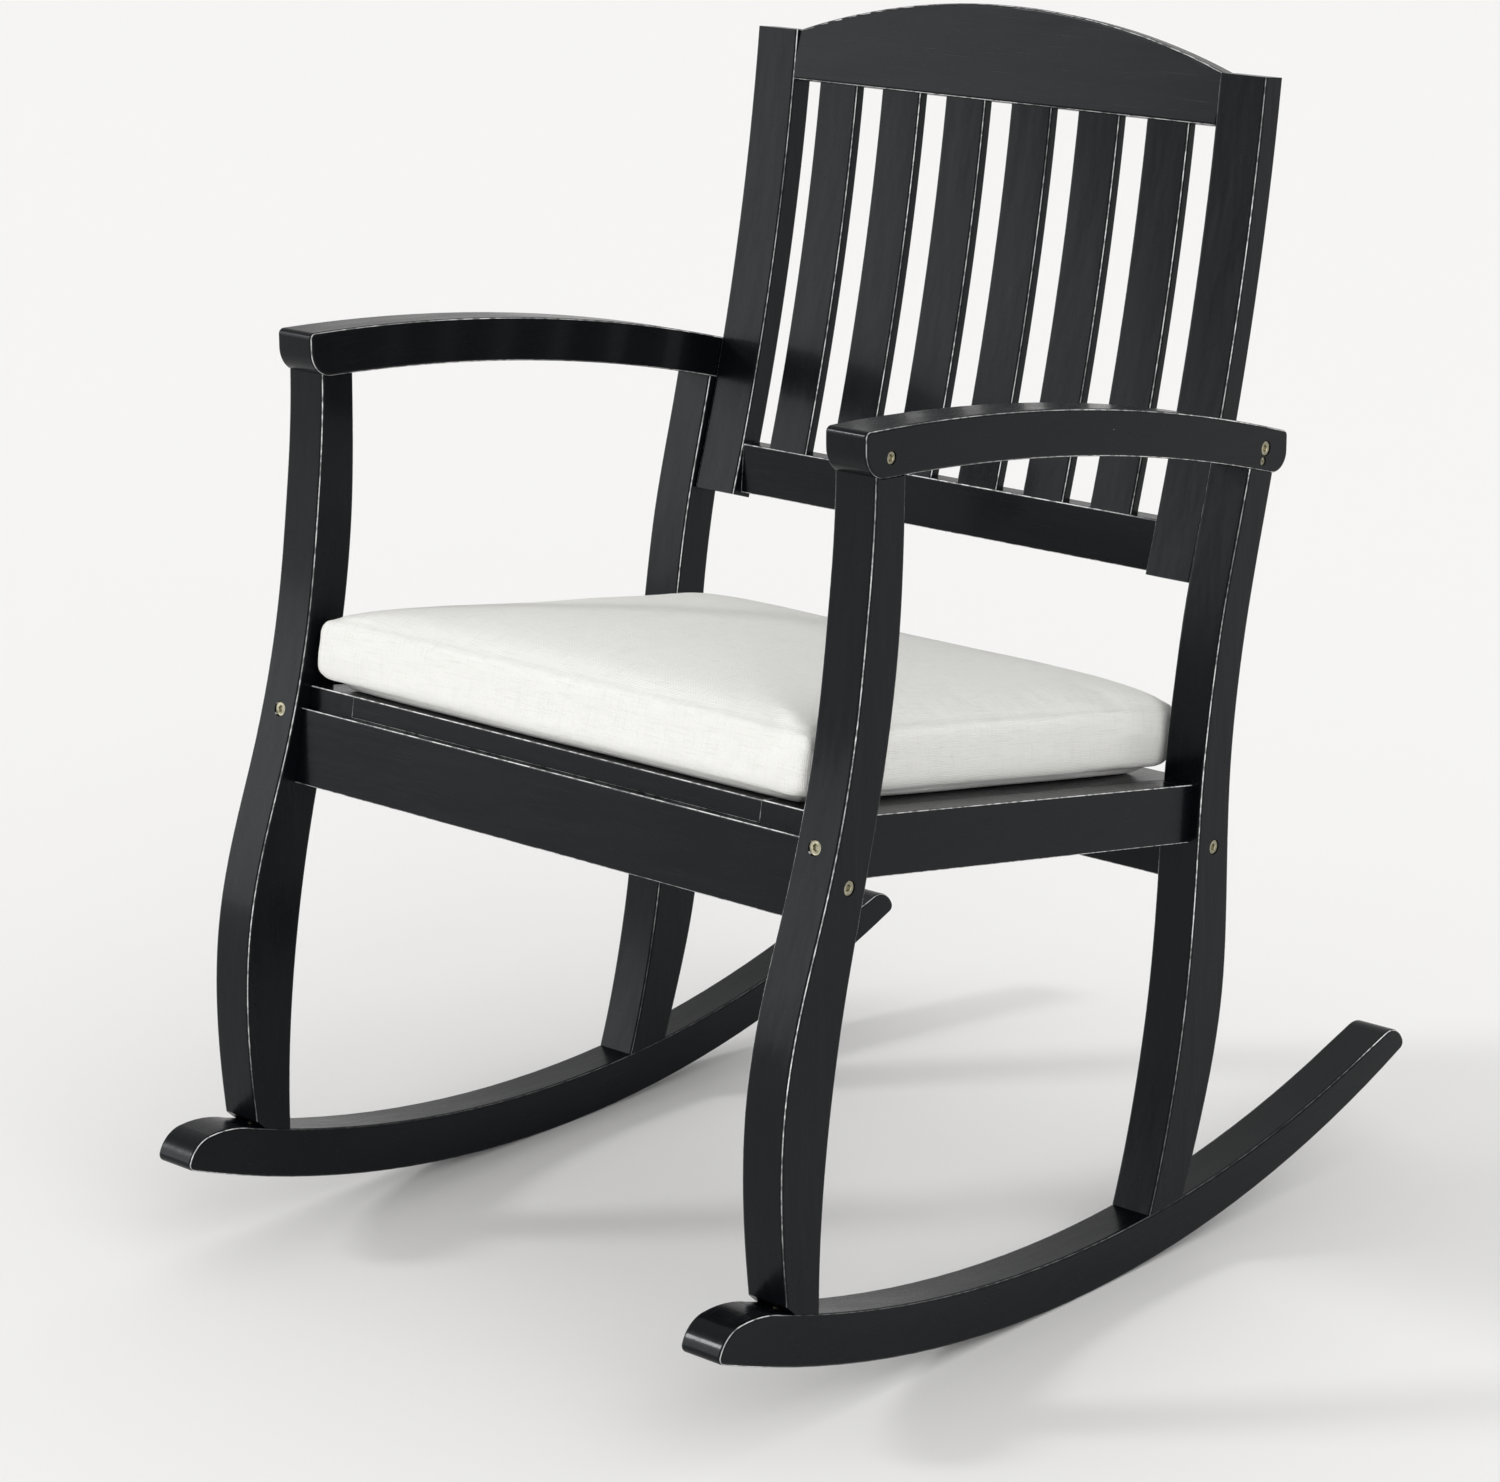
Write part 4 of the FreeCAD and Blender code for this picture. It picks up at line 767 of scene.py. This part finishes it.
def lathe(name: str, rings: list[Ring], sides: int) -> bpy.types.Mesh:
    """A closed shape from rings about Z.

    Args:
        name: Name of the mesh.
        rings: Height and radius by angle of each ring, from one pole to the other.
        sides: Corners in a ring.

    Returns:
        The mesh, closed at both ends by a pole.
    """
    mesh = bmesh.new()
    turns = [2 * math.pi * number / sides for number in range(sides)]
    pairs = [(number, (number + 1) % sides) for number in range(sides)]
    loops = [[mesh.verts.new((radius(turn) * math.cos(turn), radius(turn) * math.sin(turn), height))
              for turn in turns] for height, radius in rings]
    for first, second in zip(loops, loops[1:]):
        for one, two in pairs:
            mesh.faces.new((first[one], first[two], second[two], second[one]))
    for loop, height in ((loops[0], rings[0][0]), (loops[-1], rings[-1][0])):
        pole = mesh.verts.new((0, 0, height))
        for one, two in pairs:
            mesh.faces.new((loop[one], loop[two], pole))
    bmesh.ops.recalc_face_normals(mesh, faces=mesh.faces[:])
    made = bpy.data.meshes.new(name)
    mesh.to_mesh(made)
    mesh.free()
    for face in made.polygons:
        face.use_smooth = True
    made.set_sharp_from_angle(angle=SHARP_ANGLE)
    return made


def thread(start: float, length: float, pitch: float, radii: tuple[float, float], taper: float) -> list[Ring]:
    """Crests and roots of a thread.

    Args:
        start: Distance from the head's face to the first crest.
        length: Length of the whole fastener.
        pitch: Distance from crest to crest.
        radii: Radius of the crests and of the roots.
        taper: Length in which the thread narrows to the tip.

    Returns:
        The rings, up to one and a half turns from the tip.
    """
    rings = []
    while start < length - pitch * 1.5:
        share = min(1.0, (length - start) / taper)
        rings.append((start, circle(radii[0] * share)))
        rings.append((start + pitch / 2, circle(radii[1] * share)))
        start += pitch
    return rings


@dataclass
class SocketBolt:
    """Flat-headed bolt with a chamfered rim, a hexagon socket and a threaded end."""

    head_height: float = 0.003
    shank: float = 0.003
    across_flats: float = 0.005
    socket_depth: float = 0.002
    rim: float = 0.0005
    lead_in: float = 0.0004
    groove: tuple = (0.72, 0.76, 0.8)
    groove_depth: float = 0.0001
    thread_length: float = 0.018
    pitch: float = 0.001
    thread_depth: float = 0.00035
    sides: int = 36

    def shape(self, name: str, item: Fastener) -> bpy.types.Mesh:
        """Makes one bolt, its head's face at the origin and its shank along +Z.

        Args:
            name: Name of the mesh.
            item: The fastener that it stands for.

        Returns:
            The bolt's mesh.
        """
        flat = self.across_flats / 2

        def hexagon(grow: float) -> Profile:
            """Radius of a six-sided socket by angle."""
            return lambda turn: (flat + grow) / math.cos((turn + math.pi / 6) % (math.pi / 3) - math.pi / 6)

        root = self.shank - self.thread_depth
        inner, deepest, outer = (circle(item.head * share) for share in self.groove)
        rings = [(self.socket_depth, hexagon(-flat / 2)), (self.socket_depth, hexagon(0)),
                 (self.lead_in, hexagon(0)), (0.0, hexagon(self.lead_in)), (0.0, inner),
                 (self.groove_depth, deepest), (0.0, outer), (0.0, circle(item.head - self.rim)),
                 (self.rim, circle(item.head)), (self.head_height, circle(item.head)),
                 (self.head_height, circle(self.shank))]
        rings += thread(item.length - self.thread_length, item.length, self.pitch, (self.shank, root),
                        self.pitch)
        rings += [(item.length - self.rim, circle(root)), (item.length, circle(root - self.rim))]
        return lathe(name, rings, self.sides)


@dataclass
class CrossScrew:
    """Countersunk wood screw with a cross recess and a pointed thread."""

    head_height: float = 0.0024
    shank: float = 0.002
    face: float = 0.94
    edge: float = 0.0001
    recess_reach: float = 0.0021
    recess_web: float = 0.0007
    recess_depth: float = 0.0016
    recess_shares: tuple = (0.35, 0.6)
    thread_start: float = 0.35
    pitch: float = 0.0018
    thread_depth: float = 0.0006
    taper_turns: float = 4
    tip: float = 0.1
    sides: int = 32

    def shape(self, name: str, item: Fastener) -> bpy.types.Mesh:
        """Makes one screw, its head's face at the origin and its shank along +Z."""

        def cross(share: float) -> Profile:
            """Radius of the cross recess by angle, long in four directions and short between them."""
            span = self.recess_reach - self.recess_web
            return lambda turn: (self.recess_web + span * abs(math.cos(2 * turn)) ** 6) * share

        floor, middle = self.recess_shares
        rings = [(self.recess_depth, cross(floor)), (self.recess_depth * middle, cross(middle)),
                 (0.0, cross(1.0)), (0.0, circle(item.head * self.face)), (self.edge, circle(item.head)),
                 (self.head_height, circle(self.shank))]
        rings += thread(item.length * self.thread_start, item.length, self.pitch,
                        (self.shank, self.shank - self.thread_depth), self.pitch * self.taper_turns)
        rings.append((item.length, circle(self.shank * self.tip)))
        return lathe(name, rings, self.sides)


@dataclass
class FastenerSet:
    """Every bolt or screw of one node, set out by Geometry Nodes on the places found in the frame."""

    node: str
    pattern: SocketBolt | CrossScrew
    seed: int = 3

    def _tree(self) -> NodeShape:
        """The tree that turns one pattern into each place."""
        shape = NodeShape(self.node + "_places", {"Object": ("Pattern",), "Int": ("Seed",)})
        pattern = shape.get("GeometryNodeObjectInfo", None, {"Object": shape.input("Pattern")}, "Geometry")
        axis = shape.get("GeometryNodeInputNamedAttribute", {"data_type": "FLOAT_VECTOR"}, {"Name": "inward"})
        aim = shape.get("FunctionNodeAlignRotationToVector", {"axis": "Z"}, {"Vector": axis})
        spots = shape.get("GeometryNodeInstanceOnPoints", None,
                          {"Points": shape.input("Geometry"), "Instance": pattern, "Rotation": aim})
        spin = shape.get("FunctionNodeRandomValue", {"data_type": "FLOAT"},
                         {2: 0.0, 3: math.pi / 3, "Seed": shape.input("Seed")}, 1)
        turn = shape.get("ShaderNodeCombineXYZ", None, {2: spin})
        shape.close(shape.get("GeometryNodeRotateInstances", None, {"Instances": spots, "Rotation": turn}))
        return shape

    def build(self, material: bpy.types.Material) -> None:
        """Makes the set and puts it in place of its node."""
        items = fasteners(self.node)
        mould = new_piece(self.node + "_mould", self.pattern.shape(self.node + "_mould", items[0]), material)
        points = bpy.data.meshes.new(self.node)
        points.from_pydata([item.point for item in items], [], [])
        inward = points.attributes.new("inward", "FLOAT_VECTOR", "POINT")
        for number, item in enumerate(items):
            inward.data[number].vector = item.inward
        piece = self._tree().run(self.node + "_detail", points,
                                 {"Pattern": mould, "Seed": self.seed, "Material": material})
        bpy.data.objects.remove(mould)
        settle(piece, CHAIR, [self.node])


@dataclass
class PaintedTimber:
    """The boards whose solids already have their final shape, each with paint along its own grain."""

    seat_tilt: float = math.radians(9.6)
    crest_tilt: float = math.radians(12)
    rail_tilt: float = math.radians(5)
    # Normal band of the painted highlight lines on the smaller arrises.
    fine_arris_band: tuple = (0.42, 0.54)
    # Where the runners' painted highlight lines are faint, in the middle, and full, towards the ends.
    runner_highlight_span: tuple = (1, 0.365, 0.40)

    def _seat_corner(self) -> tuple[float, float]:
        """Y and Z of the front top edge of the seat."""
        low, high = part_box("seat_side_left")
        length, rise = high.y - low.y, high.z - low.z
        turn = self.seat_tilt
        thick = (rise * math.cos(turn) - length * math.sin(turn)) / math.cos(2 * turn)
        return low.y + thick * math.sin(turn), high.z

    def build(self) -> dict[str, bpy.types.Material]:
        """Paints every board.

        Returns:
            The paints by name, for the slats.
        """
        posts, rails = Arris.BESIDE_FACES_ACROSS_X, Arris.ALONG_THE_BOARD
        across, along, fine = Grain.ALONG_X, Grain.ALONG_Y, self.fine_arris_band
        seat_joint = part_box("seat_front_board")[1].x
        back_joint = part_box("back_bottom_rail")[1].x
        boards = (
            (SatinPaint("paint_upright", Grain.ALONG_Z, posts), sided("front_leg", "rear_leg", "back_stile")),
            (SatinPaint("paint_lengthwise", along, posts), sided("armrest")),
            (SatinPaint("paint_runner", along, posts, highlight_span=self.runner_highlight_span), sided("runner")),
            (SatinPaint("paint_side", along, posts, arris_band=fine), sided("side_rail", "seat_cleat")),
            (SatinPaint("paint_seat_side", along, posts, arris_band=fine, corner=self._seat_corner()),
             sided("seat_side")),
            (SatinPaint("paint_seat", across, rails, self.seat_tilt, fine),
             ["front_rail", "rear_rail", *numbered("seat_slat", 5)]),
            (SatinPaint("paint_seat_end", across, rails, self.seat_tilt, fine, seat_joint),
             ["seat_front_board", "seat_rear_board"]),
            (SatinPaint("paint_crest", across, rails, self.crest_tilt), ["crest_rail"]),
            (SatinPaint("paint_back_rail", across, rails, self.rail_tilt, fine, back_joint),
             ["back_bottom_rail"]),
        )
        made = {}
        for paint, nodes in boards:
            made[paint.name] = paint.build()
            dress(nodes, made[paint.name])
            log.info("%s on %s", paint.name, ", ".join(nodes))
        return made


def dress(nodes: Iterable[str], material: bpy.types.Material) -> None:
    """Gives the nodes' own objects a material."""
    for node in nodes:
        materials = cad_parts[node].data.materials
        materials.clear()
        materials.append(material)


@dataclass
class HiddenJoinery:
    """Pegs, nuts and inserts inside the joints."""

    pegs: tuple = ("arm_front_dowels", "arm_rear_dowels", "back_dowels", "foot_dowels", "rail_dowels",
                   "seat_dowels", "stile_dowels")
    metal: tuple = ("foot_inserts", "stile_inserts", "rail_barrel_nuts")

    def build(self, timber: bpy.types.Material, zinc: bpy.types.Material) -> None:
        """Dresses the pieces inside the joints."""
        dress(self.pegs, timber)
        dress(self.metal, zinc)
        log.info("hidden joinery: %d nodes", len(self.pegs) + len(self.metal))


@dataclass
class SeatCushion:
    """A loose boxed cushion: inflated by a cloth simulation, then seamed and creased."""

    voxel: float = 0.005
    shrink: float = 0.0035
    pressure: float = 4.0
    frames: int = 20
    travel: float = 0.006
    spread_limit: float = 0.004
    seam_heights: tuple = (0.057, 0.006)
    seam_hold: float = 0.012
    seam_width: float = 0.0018
    seam_depth: float = 0.0007
    pucker: float = 0.0007
    pucker_pitch: float = 0.021
    draw_in: float = 0.0025
    corner_fill: float = 0.004
    corner_zone: float = 0.14
    ear: float = 0.0025
    ear_radius: float = 0.011
    ear_lift: float = 0.6
    held_inset: float = 0.02
    seam_stiffness: float = 0.85
    rim_start: float = 0.9
    rim_width: float = 0.06
    pucker_reach: float = 5
    broad_pucker: float = 4
    flat_facing: float = 0.6

    def _plane(self) -> tuple[Vector, Vector]:
        """Directions along the seat, towards the back, and up from it, from the front board's top face."""
        mesh = joined_up("seat_front_board")
        weights = {}
        for face in mesh.faces:
            key = tuple(round(value, 3) for value in face.normal)
            weights[key] = weights.get(key, 0) + face.calc_area()
        mesh.free()
        up = Vector(max((key for key in weights if key[2] > FACING), key=weights.get)).normalized()
        return Vector((0, up.z, -up.y)), up

    def build(self, material: bpy.types.Material) -> None:
        """Makes the cushion and puts it in place of its node."""
        along, up = self._plane()
        source = joined_up("cushion")
        turn = np.array([(1, 0, 0), along, up])
        corners = np.array([vert.co[:] for vert in source.verts]) @ turn.T
        low, high = corners.min(axis=0), corners.max(axis=0)
        half, height = (high - low) / 2, (high - low)[2]
        centre = (low + high) / 2
        centre[2] = low[2]
        local = (corners - centre) * (1 - self.shrink / half)
        local[:, 2] = (corners - centre)[:, 2] * (1 - self.shrink / height)
        for vert, place in zip(source.verts, local):
            vert.co = place
        mesh = bpy.data.meshes.new("cushion_core")
        source.to_mesh(mesh)
        source.free()
        core = new_piece("cushion_core", mesh, material)
        self._modify(core, "REMESH", mode="VOXEL", voxel_size=self.voxel)
        self._inflate(core, half)
        self._modify(core, "SUBSURF", levels=1, render_levels=1)
        cover = core.data
        places, seam = self._tailor(gathered(cover.vertices, "co"), gathered(cover.vertices, "normal"),
                                    half, height)
        cover.vertices.foreach_set("co", ((places + centre) @ turn).ravel())
        cover.update()
        # This seam share also gives the linen its painted shade along the seams.
        cover.attributes.new("seam", "FLOAT", "POINT").data.foreach_set("value", seam.astype(np.float32))
        self._chart(cover, turn)
        for face in cover.polygons:
            face.use_smooth = True
        core.name = "seat_cushion"
        settle(core, CUSHION, ["cushion"])

    def _modify(self, piece: bpy.types.Object, kind: str, **settings: object) -> None:
        """Adds one modifier, sets it up and bakes it into the mesh."""
        modifier = piece.modifiers.new(kind, kind)
        for name, value in settings.items():
            setattr(modifier, name, value)
        mesh = evaluated(piece)
        piece.modifiers.clear()
        piece.data = mesh

    def _slack(self, places: np.ndarray, half: np.ndarray) -> np.ndarray:
        """How freely each corner may move: little beside a seam, whose sewn layers are stiff."""
        inset = np.maximum((half[:2] - np.abs(places[:, :2])).min(axis=1), 0)
        slack = np.ones(len(places))
        for level in self.seam_heights:
            distance = np.hypot(inset, places[:, 2] - level)
            slack = np.minimum(slack, 1 - self.seam_stiffness * np.exp(-((distance / self.seam_hold) ** 2)))
        return slack[:, None]

    def _inflate(self, piece: bpy.types.Object, half: np.ndarray) -> None:
        """Blows the cover up a little, as its filling does, with the underside held on the seat.

        Args:
            piece: The remeshed cover, in the cushion's own axes.
            half: Half sizes of the cushion.
        """
        start = gathered(piece.data.vertices, "co")
        inner = np.abs(start[:, :2]).max(axis=0) - self.held_inset
        held = (start[:, 2] < self.voxel / 2) & (np.abs(start[:, :2]) < inner).all(axis=1)
        piece.vertex_groups.new(name="held").add(np.flatnonzero(held).tolist(), 1.0, "REPLACE")
        cloth = piece.modifiers.new("filling", "CLOTH")
        cloth.settings.effector_weights.gravity = 0
        cover = {"vertex_group_mass": "held", "use_pressure": True, "uniform_pressure_force": self.pressure,
                 "quality": 5, "tension_stiffness": 22, "compression_stiffness": 22,
                 "shear_stiffness": 12, "bending_stiffness": 3}
        for name, value in cover.items():
            setattr(cloth.settings, name, value)
        cloth.point_cache.frame_start = 1
        cloth.point_cache.frame_end = self.frames
        scene = bpy.context.scene
        for number in range(1, self.frames + 1):
            scene.frame_set(number)
        move = gathered(evaluated(piece).vertices, "co") - start
        piece.modifiers.clear()
        length = np.linalg.norm(move, axis=1, keepdims=True)
        move *= np.minimum(1, self.travel / np.maximum(length, MICRON)) * self._slack(start, half)
        piece.data.vertices.foreach_set("co", (start + move).ravel())
        piece.data.update()
        scene.frame_set(1)
        log.info("cushion filled: mean travel %.2f mm", float(length.mean()) / MILLIMETRE)

    def _tailor(self, places: np.ndarray, normals: np.ndarray, half: np.ndarray,
                height: float) -> tuple[np.ndarray, np.ndarray]:
        """Fills the corners, sews the seams, puckers and draws in the sides, and keeps to the space.

        Args:
            places: Corners in the cushion's own axes, from the middle of its underside.
            normals: Their normals.
            half: Half sizes of the cushion.
            height: Height of the crown.

        Returns:
            The moved corners and how near each one is to a seam, from 0 to 1.
        """
        places = places * np.append(half[:2] / np.abs(places[:, :2]).max(axis=0), 1.0)
        place_share = np.abs(places[:, :2]) / half[:2]
        zone = np.clip((place_share - 1 + self.corner_zone) / self.corner_zone, 0, 1)
        outward = np.sign(places[:, :2])
        places[:, :2] += outward * (zone.prod(axis=1) * self.corner_fill)[:, None]
        tip = np.append(half[:2], self.seam_heights[0])
        gap = np.linalg.norm(np.abs(places) - tip, axis=1)
        lobe = np.exp(-((gap / self.ear_radius) ** 2)) * self.ear
        places += np.column_stack([outward, np.full(len(places), self.ear_lift)]) * lobe[:, None]
        edge = (np.abs(places[:, :2]) / half[:2]).max(axis=1)
        rim = np.clip((edge - self.rim_start) / self.rim_width, 0, 1)
        seam = np.zeros(len(places))
        for level in self.seam_heights:
            seam = np.maximum(seam, np.exp(-((places[:, 2] - level) / self.seam_width) ** 2))
        seam *= rim
        reach = self.pucker_reach * self.seam_width
        near = np.exp(-((places[:, 2] - self.seam_heights[0]) / reach) ** 2) * rim
        ripple, broad = (np.array([noise.noise(Vector(place) / pitch) for place in places])
                         for pitch in (self.pucker_pitch, self.pucker_pitch * self.broad_pucker))
        push = -seam * self.seam_depth + near * ripple * self.pucker + broad * self.pucker * (1 - rim)
        places += normals * push[:, None]
        for axis, other in ((0, 1), (1, 0)):
            share = np.clip(places[:, other] / half[other], -1, 1)
            pull = 1 - self.draw_in / half[axis] * np.cos(np.pi / 2 * share)
            places[:, axis] *= pull
            limit = half[axis] + self.spread_limit
            places[:, axis] = np.clip(places[:, axis], -limit, limit)
        places[:, 2] = np.clip(places[:, 2], 0, height + self.spread_limit)
        return places, seam

    def _chart(self, mesh: bpy.types.Mesh, turn: np.ndarray) -> None:
        """Gives each panel its own flat map in metres, so that the threads follow it.

        Args:
            mesh: The finished cover.
            turn: Rows are the cushion's axes.
        """
        corners = gathered(mesh.vertices, "co") @ turn.T
        facing = np.abs(gathered(mesh.polygons, "normal") @ turn.T)
        counts = np.empty(len(mesh.polygons), dtype=np.int64)
        mesh.polygons.foreach_get("loop_total", counts)
        facing = np.repeat(facing, counts, axis=0)
        index = np.empty(len(mesh.loops), dtype=np.int64)
        mesh.loops.foreach_get("vertex_index", index)
        spots = corners[index]
        flat = facing[:, 2] > self.flat_facing
        sideways = facing[:, 0] > facing[:, 1]
        first = np.where(~flat & sideways, spots[:, 1], spots[:, 0])
        second = np.where(flat, spots[:, 1], spots[:, 2])
        chart = mesh.uv_layers.new(name="panels")
        chart.data.foreach_set("uv", np.stack([first, second], axis=1).astype(np.float32).ravel())


def main() -> None:
    """Builds the studio, dresses the boards and adds the slats, the hardware and the cushion."""
    logging.basicConfig(level=logging.INFO, format="%(message)s")
    Viewpoint().build()
    Studio().build()
    paints = PaintedTimber().build()
    zinc = YellowZinc().build()
    HiddenJoinery().build(DowelTimber().build(), zinc)
    SlatRow("back_slats", numbered("back_slat", 6), Vector((1, 0, 0))).build(paints["paint_upright"])
    for kind in ("side_rail_front_bolts", "side_rail_rear_bolts", "front_rail_bolts", "rear_rail_bolts",
                 "foot_bolts", "arm_front_bolts", "arm_rear_bolts"):
        FastenerSet(kind, SocketBolt()).build(zinc)
    for kind in ("arm_rear_screws", "seat_screws", "cleat_screws"):
        FastenerSet(kind, CrossScrew()).build(zinc)
    SeatCushion().build(SlubLinen().build())


if __name__ == "__main__":
    main()
